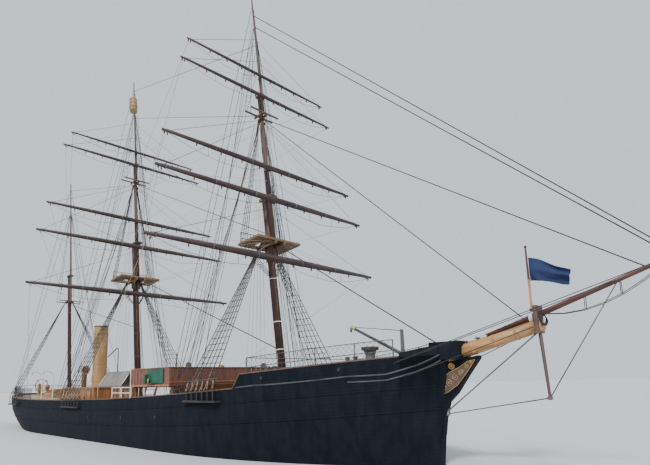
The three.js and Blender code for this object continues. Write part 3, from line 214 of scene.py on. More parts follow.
# %% Name the finishes
FORE_AND_AFT, PLANK_GRAIN, UPRIGHT_GRAIN = (0.3, 3, 3), (0.4, 3, 3), (3, 3, 0.3)
RECIPES = (
    ("black_hull", (0.004, 0.007, 0.012), (0.009, 0.012, 0.017), 0.7, dict(spread=(2, 2, 0.5), gloss=0.12)),
    ("planked_deck", (0.4, 0.31, 0.21), (0.27, 0.2, 0.13), 0.8, dict(spread=(0.2, 3, 1))),
    ("brown_spar", (0.125, 0.078, 0.064), (0.075, 0.05, 0.044), 0.55, dict(spread=UPRIGHT_GRAIN, gloss=0.35)),
    ("ochre_spar", (0.5, 0.27, 0.1), (0.33, 0.17, 0.07), 0.42, dict(spread=FORE_AND_AFT)),
    ("dark_red_spar", (0.1, 0.034, 0.025), (0.06, 0.022, 0.018), 0.45, dict(spread=FORE_AND_AFT)),
    ("tan_wood", (0.44, 0.27, 0.12), (0.28, 0.17, 0.08), 0.62, dict(spread=PLANK_GRAIN)),
    ("varnished_wood", (0.36, 0.16, 0.055), (0.22, 0.09, 0.03), 0.28, dict(spread=(3, 3, 0.4))),
    ("red_brown_paint", (0.19, 0.075, 0.05), (0.13, 0.055, 0.038), 0.5, {}),
    ("grey_iron", (0.13, 0.135, 0.14), (0.09, 0.08, 0.075), 0.5, dict(metal=0.4)),
    ("tarred_wire", (0.018, 0.015, 0.013), (0.035, 0.03, 0.026), 0.7, dict(fine=160, relief=0.001)),
    ("funnel_buff", (0.4, 0.24, 0.1), (0.3, 0.17, 0.07), 0.6, dict(spread=(2, 2, 0.5))),
    ("bronze", (0.38, 0.22, 0.08), (0.2, 0.16, 0.08), 0.35, dict(metal=0.9)),
    ("grey_canvas", (0.22, 0.215, 0.21), (0.16, 0.155, 0.15), 0.9, dict(fine=220, relief=0.0015)),
    ("white_paint", (0.72, 0.71, 0.67), (0.58, 0.56, 0.5), 0.45, {}),
    ("manila", (0.42, 0.34, 0.22), (0.3, 0.24, 0.16), 0.85, dict(fine=180, relief=0.001)),
    ("glass", (0.03, 0.045, 0.055), (0.05, 0.07, 0.08), 0.12, {}),
    ("gold_leaf", (0.5, 0.33, 0.1), (0.3, 0.17, 0.06), 0.4, dict(metal=0.5)),
    ("green_paint", (0.008, 0.095, 0.055), (0.006, 0.065, 0.04), 0.5, {}),
    ("red_paint", (0.3, 0.03, 0.02), (0.2, 0.02, 0.015), 0.4, {}),
    ("blue_bunting", (0.013, 0.03, 0.1), (0.009, 0.02, 0.07), 0.9, dict(fine=260, relief=0.001)),
    ("moulding_grey", (0.07, 0.078, 0.085), (0.035, 0.04, 0.046), 0.7, dict(broad=2, gloss=0.3)),
    ("lime_paint", (0.36, 0.42, 0.08), (0.25, 0.3, 0.06), 0.5, {}),
    ("maroon_paint", (0.14, 0.02, 0.02), (0.09, 0.015, 0.015), 0.45, {}),
    # the tops' wood is the tan wood darkened with painted shade, for the shadow the tops stand in
    ("painted_shade_top_wood", (0.2, 0.115, 0.055), (0.13, 0.08, 0.045), 0.65, dict(spread=PLANK_GRAIN)),
    ("yard_brown", (0.07, 0.045, 0.04), (0.042, 0.03, 0.03), 0.6, dict(spread=(3, 0.3, 3), gloss=0.3)),
)
PAINTS = {name: weathered(name, colour, stain, rough, **more) for name, colour, stain, rough, more in RECIPES}
planked(PAINTS["black_hull"], plank=2.6, row=0.085, seam=0.003, depth=0.002, up_the_side=True)
planked(PAINTS["planked_deck"], plank=2.0, row=0.06, seam=0.004, depth=0.003)
# the tops take the tan wood darkened with painted shade; the yards and caps take their own browns
OWN_PAINT = {"yard": "yard_brown", "top": "painted_shade_top_wood", "cap": "brown_spar"}
PAINT_OF_NODE = {row["node"]: OWN_PAINT.get(row["node"].split("_")[-1], row["material_slot"])
                 for row in frame["record"]["subparts"]}
for node, thing in frame["nodes"].items():
    thing.data.materials.clear()
    thing.data.materials.append(PAINTS[PAINT_OF_NODE[node]])

# %% [markdown]
# Small helpers finish each piece: they give it its paint and the body that carries it. Its place
# is applied to its mesh, so that the object itself sits at the origin and its grain doesn't slide.

# %% Helpers for finished pieces
def only(thing):
    bpy.ops.object.select_all(action="DESELECT")
    thing.select_set(True)
    bpy.context.view_layer.objects.active = thing


def finished(thing, paint, body="ship"):
    thing.data.materials.clear()
    thing.data.materials.append(PAINTS[paint])
    if body:
        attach(thing, body)
    return thing


def joined(name, things, paint, body="ship"):
    """One finished piece made of several things."""
    bpy.ops.object.select_all(action="DESELECT")
    for thing in things:
        thing.select_set(True)
    bpy.context.view_layer.objects.active = things[0]
    if len(things) > 1:
        bpy.ops.object.join()
    bpy.context.object.name = name
    bpy.ops.object.transform_apply()
    return finished(bpy.context.object, paint, body)


def repeated(name, seed, places, paint, body="ship"):
    """One piece made of copies of the seed, one at each place (a point or a matrix)."""
    copies = []
    for place in places:
        twin = seed.copy()
        twin.data = seed.data.copy()
        scene.collection.objects.link(twin)
        twin.matrix_world = place if isinstance(place, Matrix) else Matrix.Translation(place)
        copies.append(twin)
    bpy.data.objects.remove(seed)
    return joined(name, copies, paint, body)

# %% [markdown]
# A rope is a thin round curve along its points, turned into a mesh. A string of cylinders would break at
# each bend, and a curve turns its corners by itself. A loop is a ring of points for coils and lashings.

# %% Helpers for ropes
def drawn(name, lines, dimensions="3D", **shape):
    """A curve that runs straight from point to point of each line."""
    curve = bpy.data.curves.new(name, "CURVE")
    curve.dimensions = dimensions
    for quality, value in shape.items():
        setattr(curve, quality, value)
    for line in lines:
        spline = curve.splines.new("POLY")
        spline.points.add(len(line) - 1)
        for point, place in zip(spline.points, line):
            point.co = (*place, 1)
    thing = bpy.data.objects.new(name, curve)
    scene.collection.objects.link(thing)
    only(thing)
    return thing


def roped(name, lines, radius, paint="tarred_wire", body="ship", round_by=0):
    rope = drawn(name, lines, bevel_depth=radius, bevel_resolution=round_by, use_fill_caps=True)
    bpy.ops.object.convert(target="MESH")
    bpy.ops.object.shade_smooth_by_angle(angle=math.radians(70))
    return finished(rope, paint, body)


def loop(centre, at_start, at_quarter, steps=12):
    """A closed ring round a centre, through the points that two vectors from it give."""
    turns = [2 * math.pi * t / steps for t in range(steps + 1)]
    return [Vector(centre) + Vector(at_start) * math.cos(a) + Vector(at_quarter) * math.sin(a) for a in turns]

# %% [markdown]
# A block of wood or iron starts as a cube whose size is set and whose edges are then bevelled, since no
# real edge is sharp. What a turner would make starts as a disc, extruded and scaled ring by ring along a
# profile.

# %% Helpers for shaped solids
def block(low, high, bevel=0.006):
    low, high = Vector(low), Vector(high)
    bpy.ops.mesh.primitive_cube_add(size=1, location=(low + high) / 2)
    made = bpy.context.object
    made.scale = high - low
    bpy.ops.object.transform_apply()
    bpy.ops.object.mode_set(mode="EDIT")
    bpy.ops.mesh.select_all(action="SELECT")
    bpy.ops.mesh.bevel(offset=min(bevel, 0.3 * min(high - low)), segments=1)
    bpy.ops.object.mode_set(mode="OBJECT")
    return made


def set_at(thing, place, turn=Matrix.Identity(4)):
    thing.matrix_world = Matrix.Translation(place) @ turn
    return thing


def blocks(name, boxes, paint, body="ship", bevel=0.006):
    return joined(name, [block(*box, bevel) for box in boxes], paint, body)


def turned(profile, base=(0, 0, 0), direction=UP, sides=12):
    """A solid of revolution: its profile is a list of radius and height, from the foot up."""
    radius, height = profile[0]
    bpy.ops.mesh.primitive_circle_add(vertices=sides, radius=radius, fill_type="NGON",
                                      location=(0, 0, height))
    made = bpy.context.object
    bpy.ops.object.transform_apply()
    bpy.ops.object.mode_set(mode="EDIT")
    bpy.ops.mesh.select_all(action="SELECT")
    for wider, higher in profile[1:]:
        bpy.ops.mesh.extrude_region_move(TRANSFORM_OT_translate={"value": (0, 0, higher - height)})
        if abs(wider - radius) > 1e-6:
            ratio = wider / radius
            bpy.ops.transform.resize(value=(ratio, ratio, 1), center_override=(0, 0, higher))
        radius, height = wider, higher
    bpy.ops.mesh.select_all(action="SELECT")
    bpy.ops.mesh.normals_make_consistent(inside=False)
    bpy.ops.object.mode_set(mode="OBJECT")
    set_at(made, base, UP.rotation_difference(Vector(direction)).to_matrix().to_4x4())
    bpy.ops.object.transform_apply()
    bpy.ops.object.shade_smooth_by_angle(angle=math.radians(35))
    return made


def hoop(radius, inner, half, edge, base, direction, sides):
    """A band round a spar: half its width, and how far its edges are eased down to the inner radius."""
    profile = [(inner, -half), (radius, edge - half), (radius, half - edge), (inner, half)]
    return turned(profile, base, direction, sides)

# %% [markdown]
# The masts lean aft, and much of the rig is easiest to place in a mast's own frame: so far ahead of it, so
# far to the side and so far up. Their heights and radii are those of the CAD model.

# %% Frames of the masts
class Mast:
    def __init__(self, x, rake, top, cap, radii, foot, topmast, crosstrees, pole):
        self.x, self.rake = x, math.radians(rake)
        self.top, self.cap, self.radii, self.foot = top, cap, radii, foot
        self.topmast, self.crosstrees, self.pole = topmast, crosstrees, pole

    def at(self, ahead, side, up):
        c, s = math.cos(self.rake), math.sin(self.rake)
        return Vector((self.x + ahead * c - up * s, side, ahead * s + up * c))

    def up_mast(self):
        return self.at(0, 0, 1) - self.at(0, 0, 0)

    def lower_radius(self, up):
        return self.radii[0] + (self.radii[1] - self.radii[0]) * (up - self.foot) / (self.cap - self.foot)


MASTS = {
    "fore": Mast(8.222, 6.6, 6.422, 8.018, (0.14, 0.115), 0.5, 0.2, 11.119, 0.322),
    "main": Mast(-0.7, 6.5, 6.639, 8.34, (0.15, 0.12), 0.3, 0.205, 11.386, 0.33),
    "mizzen": Mast(-7.975, 7.4, 6.575, 8.067, (0.1, 0.088), 0.9, 0.158, 6.575, None),
}
SQUARE_RIGGED = ("fore", "main")
print("foremast's top at", [round(c, 2) for c in MASTS["fore"].at(0, 0, MASTS["fore"].top)])

# %% [markdown]
# Each yard has a frame too: so far out along it, above its axis and ahead of it. It is thickest in the
# middle and tapers to its arms, so that the gear which lies on it can ask for its radius at any place.

# %% Frames of the yards
class Yard:
    TAPER = ((0, 1), (0.2, 1), (0.55, 0.8), (1, 0.45))

    def __init__(self, mast_name, sail, up, half, radius, ahead):
        self.mast, self.mast_name, self.sail = MASTS[mast_name], mast_name, sail
        self.body = f"{mast_name}_{sail}_yard"
        self.up, self.half, self.radius, self.ahead = up, half, radius, ahead

    def out(self, *shares):
        """Places on both arms, at these shares of the half length."""
        return [side * self.half * share for side in SIDES for share in shares]

    def at(self, y, up=0.0, ahead=0.0):
        return self.mast.at(self.ahead + ahead, y, self.up + up)

    def radius_at(self, y):
        t = abs(y) / self.half
        for (a, wide), (b, narrow) in zip(self.TAPER, self.TAPER[1:]):
            if t <= b:
                return self.radius * (wide + (narrow - wide) * (t - a) / (b - a))


YARDS = [Yard(*row) for row in (
    # mast, sail, height, half length, radius, how far ahead of the mast
    ("fore", "royal", 12.517, 3.08, 0.052, 0.452),
    ("fore", "topgallant", 11.692, 3.355, 0.06, 0.456),
    ("fore", "upper_topsail", 8.99, 4.06, 0.084, 0.39),
    ("fore", "lower_topsail", 7.788, 4.37, 0.094, 0.482),
    ("fore", "course", 5.772, 4.725, 0.104, 0.402),
    ("main", "royal", 12.789, 3.085, 0.052, 0.46),
    ("main", "topgallant", 12.089, 3.405, 0.06, 0.464),
    ("main", "upper_topsail", 9.317, 4.005, 0.084, 0.396),
    ("main", "lower_topsail", 8.029, 4.4, 0.094, 0.487),
    ("main", "course", 5.868, 4.695, 0.104, 0.408),
)]
print(len(YARDS), "yards, the longest", max(2 * yard.half for yard in YARDS), "m")

# %% [markdown]
# The rail's line rises towards both ends, with a step up at the forecastle, and in plan the side runs
# straight amidships and curves in to the stem and the stern. The decks lie at set depths below that line.

# %% Lines of the rail and the decks
HALF, RUN_X, RUN_END, ENTRY_X, ENTRY_END = 2.56, -5.95, -14.19, 6.05, 13.59
STEP_X, STEP_LONG, STEP_HIGH = 8.65, 0.25, 0.35

def sheer(x):
    rise = SHEER_FORE if x > SHEER_LOW_X else SHEER_AFT
    return SHEER_LOW_Z + rise * (x - SHEER_LOW_X) ** 2


def rail(x):
    t = min(1, max(0, (x - STEP_X) / STEP_LONG))
    return sheer(x) + STEP_HIGH * t * t * (3 - 2 * t)


def rail_half(x, inset=0.0):
    """Half the ship's breadth at the rail, drawn in by an amount."""
    half = HALF - inset
    if x > ENTRY_X:
        return half * max(0, 1 - ((x - ENTRY_X) / (ENTRY_END - inset - ENTRY_X)) ** 2.6) ** 0.7
    if x < RUN_X:
        return half * max(0, 1 - ((RUN_X - x) / (RUN_X - RUN_END - inset)) ** 2.2) ** 0.7
    return half


def by_rail(x, side, up, out=0.02):
    return Vector((x, side * (rail_half(x) + out), rail(x) + up))


def main_deck(x):
    return sheer(x) - 0.56


def poop_deck(x):
    return rail(x) - 0.06


def forecastle_deck(x):
    return rail(x) - 0.075

print("rail at the bow, amidships and at the stern:", [round(rail(x), 2) for x in (13, 0, -13)])

# %% [markdown]
# Round spars come from the CAD with flat facets. A smooth copy stands for each of them: duplicated, its
# double points merged and its gentle edges shaded away, while the caps and brackets keep their corners.

# %% Round the spars
ROUND = [node for node in frame["nodes"] if node.endswith(("_yard", "_mast", "_topmast"))]
ROUND += ["hull", "jib_boom", "bowsprit", "funnel", "cowl_ventilator", "capstan", "anchor_crane",
          "crows_nest", "poop_rail", "forecastle_rail", "awning_frame", "steering_wheel", "propeller",
          "bobstays"]
ROUND += [node for node in frame["nodes"] if "shrouds" in node or ("stay" in node and node != "bobstays")]
ROUNDED_BY, MOST_ROUNDED_BY = {"hull": 20, "bowsprit": 50, "jib_boom": 50}, 38
BODY_OF = {node: body for body, nodes in frame["record"]["behaviour"]["bodies"].items() for node in nodes}
for node in ROUND:
    source = frame["nodes"][node]
    smooth = source.copy()
    smooth.data = source.data.copy()
    smooth.parent = None
    for key in list(smooth.keys()):
        del smooth[key]
    smooth.name = "smooth_" + node
    scene.collection.objects.link(smooth)
    only(smooth)
    bpy.ops.object.mode_set(mode="EDIT")
    bpy.ops.mesh.select_all(action="SELECT")
    bpy.ops.mesh.remove_doubles(threshold=0.00005)
    bpy.ops.object.mode_set(mode="OBJECT")
    bpy.ops.object.shade_smooth_by_angle(angle=math.radians(ROUNDED_BY.get(node, MOST_ROUNDED_BY)))
    finished(smooth, PAINT_OF_NODE[node], BODY_OF[node])
    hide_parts(node)
print(len(ROUND), "pieces rounded")

# %% [markdown]
# Ratlines turn the shrouds into ladders. Each line crosses all the shrouds of a fan, and hangs a little
# between them. They are 19 cm apart at this scale, not quite evenly, as they are tied by hand. Iron sheer
# poles hold the feet of the shrouds apart.

# %% Ladders up the lower shrouds
# the foremost shroud's x, their number and spacing, how far out and ahead of the mast they meet
FANS = {"fore": (8.05, 6, 0.25, 0.112, -0.1), "main": (-0.7, 6, 0.28, 0.112, -0.1),
        "mizzen": (-7.8, 4, 0.32, 0.062, -0.04)}
CHANNEL_OUT, CHANNEL_UP = 2.65, 0.17
RUNG, RUNG_SAG = 0.19, 0.008

def ladder(shrouds, start, stop):
    """Rungs across a row of shrouds, each a pair of foot and head, between two heights."""
    lines = []
    height = start
    while height < stop:
        points = [foot.lerp(head, (height - foot.z) / (head.z - foot.z)) for foot, head in shrouds]
        line = [points[0]]
        for a, b in zip(points, points[1:]):
            line += [a.lerp(b, 0.5) - UP * RUNG_SAG, b]
        lines.append(line)
        height += RUNG * dice.uniform(0.94, 1.06)
    return lines


def lower_shrouds(name, side):
    mast = MASTS[name]
    first, count, spacing, out, ahead = FANS[name]
    spread = side * (mast.lower_radius(mast.top) + out)
    places = (first - i * spacing for i in range(count))
    feet = [Vector((x, side * CHANNEL_OUT, rail(x) + CHANNEL_UP)) for x in places]
    return [(foot, mast.at(ahead - 0.01 * i, spread, mast.top + 0.06)) for i, foot in enumerate(feet)]


for name in FANS:
    mast = MASTS[name]
    for side, word in SIDES.items():
        fan = lower_shrouds(name, side)
        start = max(foot.z for foot, _ in fan) + 0.2
        roped(f"{name}_ratlines_{word}", ladder(fan, start, mast.at(0, 0, mast.top - 0.45).z), 0.009)
        fore_end, aft_end = (foot.lerp(head, 0.035) for foot, head in (fan[0], fan[-1]))
        roped(f"{name}_sheer_pole_{word}", [[fore_end + AHEAD * 0.1, aft_end - AHEAD * 0.1]], 0.013,
              "grey_iron", round_by=1)
print("ladders on", len(FANS) * len(SIDES), "fans")

# %% [markdown]
# Each shroud ends in a pair of deadeyes: round wooden blocks with a lanyard rove between them three times.
# One deadeye is turned as a flat bun and copied to the foot and the head of each lanyard.

# %% Deadeyes and lanyards
eyes, lanyards = [], []
on_edge = Matrix.Rotation(math.radians(90), 4, "X")
for name in FANS:
    for side in SIDES:
        for foot, head in lower_shrouds(name, side):
            low, high = foot - UP * 0.1, foot + (head - foot).normalized() * 0.13
            eyes += [Matrix.Translation(spot) @ on_edge for spot in (low, high)]
            for shift in (-0.02, 0, 0.02):
                beside = Vector((shift, side * 0.024, 0))
                lanyards.append([low + beside, high + beside])
bun = turned([(0.026, -0.022), (0.04, -0.012), (0.04, 0.012), (0.026, 0.022)], sides=10)
repeated("deadeyes", bun, eyes, "tarred_wire")
roped("lanyards", lanyards, 0.0045, "manila")
print(len(eyes), "deadeyes")

# %% [markdown]
# Above the top, four shrouds a side spread the topmast, and short futtock shrouds carry their pull down to
# a band round the lower mast. The topgallant mast has a pair a side from the crosstrees, and so has the
# mizzen's topmast. All have ratlines. On the fore and main masts they stand abaft, so that the yards can be
# braced round.

# %% Shrouds of the topmasts and the topgallant masts
TOPMAST_FEET, TOP_HALF, FUTTOCK_DROP = (-0.1, -0.22, -0.34, -0.46), 0.86, 1.1
TOPGALLANT_HEAD = {"fore": 14.6, "main": 14.85}

def shrouded(kind, word, fan, radius, start, stop, rung):
    roped(f"{kind}_shrouds_{word}", fan, radius, round_by=1)
    roped(f"{kind}_ratlines_{word}", ladder(fan, start, stop), rung)


for name in SQUARE_RIGGED:
    mast = MASTS[name]
    for side, word in SIDES.items():
        feet = [mast.at(x, side * TOP_HALF, mast.top + 0.02) for x in TOPMAST_FEET]
        heads = [mast.at(mast.topmast - 0.02 * i, side * 0.085, mast.crosstrees - 0.2 + 0.012 * i)
                 for i in range(4)]
        shrouded(f"{name}_topmast", word, list(zip(feet, heads)), 0.0095, feet[0].z + 0.25,
                 heads[0].z - 0.35, 0.0065)
        out = side * (mast.lower_radius(mast.top) + 0.02)
        band = [mast.at(0.06 - 0.04 * i, out, mast.top - FUTTOCK_DROP) for i in range(4)]
        fan = [(low, foot - UP * 0.08) for low, foot in zip(band, feet)]
        shrouded(f"{name}_futtock", word, fan, 0.009, band[0].z + 0.3, feet[3].z - 0.15, 0.005)
        low = [mast.at(0.09, side * y, mast.crosstrees) for y in (0.6, 0.38)]
        tips = [mast.at(mast.pole - 0.03, side * y, TOPGALLANT_HEAD[name]) for y in (0.055, 0.03)]
        shrouded(f"{name}_topgallant", word, list(zip(low, tips)), 0.007, low[1].z + 0.2,
                 tips[0].z - 0.3, 0.0055)
mizzen = MASTS["mizzen"]
for side, word in SIDES.items():
    low = [mizzen.at(x, side * 0.62, mizzen.top) for x in (-0.145, 0.264)]
    tips = [mizzen.at(mizzen.topmast - 0.03 * i, side * 0.05, 11.6) for i in (1, 0)]
    shrouded("mizzen_topmast", word, list(zip(low, tips)), 0.009, low[1].z + 0.2, tips[0].z - 1.0, 0.006)
print("upper shrouds rigged")

# %% [markdown]
# Backstays run from the upper masts down to the rail abaft the lower shrouds, and light stays run forward
# from mast to mast. They are straight: a standing rope is set up bar taut.

# %% Backstays and upper stays
BACKSTAYS = {
    # the spar they come from, how far up, and the x of their foot
    "fore": [("topmast", 10.9, 6.55), ("topmast", 10.85, 6.3), ("pole", 14.6, 6.05), ("pole", 15.5, 5.8)],
    "main": [("topmast", 11.2, -2.35), ("topmast", 11.15, -2.6), ("pole", 14.9, -2.85), ("pole", 16.1, -3.1)],
    "mizzen": [("topmast", 11.7, -9.1), ("topmast", 13.2, -9.4)],
}
lines = [[MASTS[name].at(getattr(MASTS[name], spar), side * 0.05, up), by_rail(x, side, 0.04)]
         for name, stays in BACKSTAYS.items() for spar, up, x in stays for side in SIDES]
roped("backstays", lines, 0.009, round_by=1)
fore, main = MASTS["fore"], MASTS["main"]
upper = [
    [main.at(main.pole, 0, 14.7), fore.at(0.25, 0, 11.05)],
    [main.at(main.pole, 0, 16.2), fore.at(fore.pole, 0, 13.9)],
    [mizzen.at(mizzen.topmast, 0, 11.5), main.at(0, 0, 8.25)],
    [mizzen.at(mizzen.topmast, 0, 13.2), main.at(0.2, 0, 11.2)],
]
roped("upper_stays", upper, 0.009, round_by=1)
print(len(lines), "backstays and", len(upper), "upper stays")

# %% [markdown]
# A yard carries its own gear: a jackstay rod along its top, iron bands, and footropes hung below on
# stirrups for the crew. All of it swings with the yard, so it rides on the yard's body.

# %% Dress the yards
JACKSTAY_MARKS, BAND_MARKS = (0.06, 0.2, 0.4, 0.6, 0.8, 0.96), (0.2, 0.55, 0.93)
STIRRUPS, EYEBOLTS = (0.1, 0.36, 0.62, 0.95), 14

def footrope(yard, side, drop):
    """A rope that falls from the yard to each stirrup in turn and sags a little between them."""
    path = []
    marks = list(zip(STIRRUPS, (0, drop, drop, 0)))
    for (a, low), (b, lower) in zip(marks, marks[1:]):
        for t in (0, 0.25, 0.5, 0.75, 1):
            fall = low + (lower - low) * (t if low else t ** 0.6) + 0.2 * t * (1 - t)
            y = side * yard.half * (a + (b - a) * t)
            path.append(yard.at(y, -yard.radius_at(y) - fall))
    return path


for yard in YARDS:
    rods, hung = [], []
    drop = 0.3 if yard.half > 4 else 0.25
    for side in SIDES:
        marks = [side * yard.half * t for t in JACKSTAY_MARKS]
        rods.append([yard.at(y, yard.radius_at(y) + 0.016) for y in marks])
        for y in [side * yard.half * t / EYEBOLTS for t in range(1, EYEBOLTS)]:
            rods.append([yard.at(y, yard.radius_at(y) + up) for up in (-0.01, 0.02)])
        hung.append(footrope(yard, side, drop))
        for y in [side * yard.half * t for t in STIRRUPS[1:-1]]:
            hung.append([yard.at(y, 0.005 - yard.radius_at(y)), yard.at(y, -yard.radius_at(y) - drop)])
    roped(f"{yard.body}_jackstays", rods, 0.006, "grey_iron", yard.body)
    roped(f"{yard.body}_footropes", hung, 0.0065, "tarred_wire", yard.body)
    bands = []
    for y in yard.out(*BAND_MARKS):
        r = yard.radius_at(y) + 0.007
        bands.append(hoop(r, r * 0.96, 0.02, 0.005, yard.at(y), ATHWART, 12))
    joined(f"{yard.body}_bands", bands, "grey_iron", yard.body)
print(len(YARDS), "yards dressed")

# %% [markdown]
# Lifts hang the yardarms from the masthead above, and have one end on the ship and one on the yard. Such a
# rope is made in place and rides on no body, so it does not follow the yard when it is braced round. It
# has rings of points at its two ends only.

# %% Lifts
LIFT_RISE = {"course": -0.46, "lower_topsail": -0.35, "upper_topsail": -0.25, "topgallant": 1.5, "royal": 1.6}

def rig_between(yard, kind, lines, radius, start, end, paint="tarred_wire"):
    rope = roped(f"{yard.body}_{kind}", lines, radius, paint, body=None)
    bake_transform(rope)
    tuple(start)
    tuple(end)


def lift_head(yard):
    """Where a pair of lifts meets the mast, and how far out from its middle."""
    mast, rise = yard.mast, LIFT_RISE[yard.sail]
    if yard.sail == "course":
        return mast.at(0.2, 0, mast.cap + rise), 0.17
    if yard.sail.endswith("topsail"):
        return mast.at(mast.topmast, 0, mast.crosstrees + rise), 0.09
    return mast.at(mast.pole, 0, yard.up + rise), 0.05


for yard in YARDS:
    head, out = lift_head(yard)
    tips = [yard.at(y, yard.radius_at(y)) for y in yard.out(0.94)]
    lifts = [[tip, head + ATHWART * side * out] for tip, side in zip(tips, SIDES)]
    rig_between(yard, "lifts", lifts, 0.007, (0, 0, tips[0].z), (0, 0, head.z))
print("lifts rove")

# %% [markdown]
# Braces pull the yardarms aft, those of the courses from the rail and the others from the mast behind. They
# are made like the lifts.

# %% Braces
BRACE_ENDS = {
    "fore": {"course": ("rail", -0.35), "lower_topsail": ("main", 6.3), "upper_topsail": ("main", 8.1),
             "topgallant": ("main", 8.3), "royal": ("main", 11.2)},
    "main": {"course": ("rail", -6.55), "lower_topsail": ("mizzen", 6.3), "upper_topsail": ("mizzen", 7.9),
             "topgallant": ("mizzen", 8.0), "royal": ("mizzen", 11.4)},
}
for yard in YARDS:
    holder, where = BRACE_ENDS[yard.mast_name][yard.sail]
    braces = []
    for side in SIDES:
        hold = by_rail(where, side, 0.05) if holder == "rail" else MASTS[holder].at(0.1, side * 0.14, where)
        braces.append([yard.at(side * yard.half * 0.97, 0, -0.02), hold])
    start, end = ((point.x, 0, 0) for point in braces[0])
    rig_between(yard, "braces", braces, 0.006, start, end, "manila")
print("braces rove")

# %% [markdown]
# Halyards come down each mast to the pins at its foot, and clew lines and falls slant out to the pins along
# the bulwark, where the crew haul on them. Halyards and clew lines are pale rope, and the falls are dark.

# %% Running rigging down the masts
HALYARD_HEADS = (8.2, 8.3, 10.9, 10.8, 7.9, 11.0, 10.7, 7.8, 10.9)
for name in SQUARE_RIGGED:
    mast = MASTS[name]
    halyards, clew_lines, falls = [], [], []
    for i, up in enumerate(HALYARD_HEADS):
        side = PORT if i % 2 else STARBOARD
        start = mast.at(0.02 - 0.03 * i, side * (0.16 + 0.012 * i), min(up, mast.cap + 0.05))
        x = mast.x - 0.55 - 0.06 * i
        halyards.append([start, Vector((x, side * (0.42 + 0.05 * i), sheer(x) - 0.2))])
        if up > mast.cap + 0.1:
            halyards.append([mast.at(mast.topmast - 0.12, side * 0.08, up), start])
    for side in SIDES:
        for i in range(5):
            x = mast.x - 0.9 - 0.22 * i
            head = mast.at(-0.05 * i, side * 0.3, mast.top - 0.1)
            clew_lines.append([head, Vector((x, side * (HALF - 0.1), sheer(x) - 0.02))])
        for i in range(8):
            x = mast.x - 1.15 - 0.21 * i
            head = (mast.at(mast.topmast - 0.25, side * 0.12, 10.9 - 0.12 * i) if i % 2
                    else mast.at(mast.pole - 0.06, side * 0.05, 14.9 - 0.35 * i))
            falls.append([head, Vector((x, side * (HALF - 0.16), sheer(x) - 0.1))])
    roped(f"{name}_halyards", halyards, 0.006, "manila")
    roped(f"{name}_clew_lines", clew_lines, 0.0055, "manila")
    roped(f"{name}_falls_to_the_rail", falls, 0.0075, round_by=1)
print("running rigging down")

# %% [markdown]
# Mouldings lie on the skin of the hull. A ray cast from outside onto the CAD hull finds the skin at each
# place, and a half-round strip follows those points. The main rail's moulding sweeps up to the knightheads.

# %% Mouldings on the hull
hull = frame["nodes"]["hull"].data
skin = BVHTree.FromPolygons([v.co.copy() for v in hull.vertices], [tuple(p.vertices) for p in hull.polygons])
OUTSIDE = 4

def on_hull(x, side, z):
    spot = skin.ray_cast(Vector((x, side * OUTSIDE, z)), Vector((0, -side, 0)))[0]
    return spot or Vector((x, side * rail_half(x), z))

# x and height of the upper moulding; the lower one starts halfway and runs a little below it
HEAD_MOULDING = ((8.75, 1.853), (9.35, 1.901), (9.96, 1.921), (10.4, 1.948), (10.81, 1.976), (11.24, 2.011),
                 (11.75, 2.059), (12.2, 2.072), (12.52, 2.088), (12.77, 2.163), (13.09, 2.279), (13.3, 2.395),
                 (13.45, 2.5))
LOWER_FROM, LOWER_BY, WALE_DROPS = 6, 0.13, (0.34, 0.86)
strips = [[on_hull(x, side, z - drop) for x, z in HEAD_MOULDING[first:]]
          for side in SIDES for first, drop in ((0, 0), (LOWER_FROM, LOWER_BY))]
roped("head_moulding", strips, 0.021, "moulding_grey", round_by=1)
stations = [-13.7 + 0.45 * i for i in range(61)]
wales = [[on_hull(x, side, sheer(x) - drop) for x in stations] for side in SIDES for drop in WALE_DROPS]
roped("wale_mouldings", wales, 0.02, "black_hull", round_by=1)
print(len(strips) + len(wales), "strips on the hull")

# %% [markdown]
# The trailboards are carved boards on both cheeks of the knee under the bowsprit. A flat outline is given a
# thickness, and gilded scrolls, drawn as spirals that grow from their middle, lie on it. Hawse pipes of
# bronze lead the cables out above them.

# %% Trailboards and hawse pipes
# x and height of the board's corners, then x, height and size of its scrolls
BOARD = ((13.33, 1.6), (13.5, 1.66), (13.76, 1.83), (14.0, 2.1), (14.2, 2.36), (14.03, 2.33), (13.8, 2.2),
         (13.55, 2.09), (13.36, 1.95))
SCROLLS = ((13.42, 1.77, 0.07), (13.55, 1.88, 0.085), (13.71, 1.99, 0.085), (13.86, 2.1, 0.075),
           (14.0, 2.22, 0.06), (14.1, 2.31, 0.04))
KNEE_SIDE, BOARD_HALF = 0.085, 0.012
HAWSE = [(0.06, 0), (0.085, 0), (0.085, 0.02), (0.07, 0.032), (0.045, 0.03), (0.03, 0.012)]

def scroll(x, y, z, size, flip):
    turns = [math.pi * t / 6 for t in range(22)]
    return [(x + size * a / 11.5 * math.cos(a), y, z + flip * size * a / 11.5 * math.sin(a)) for a in turns]


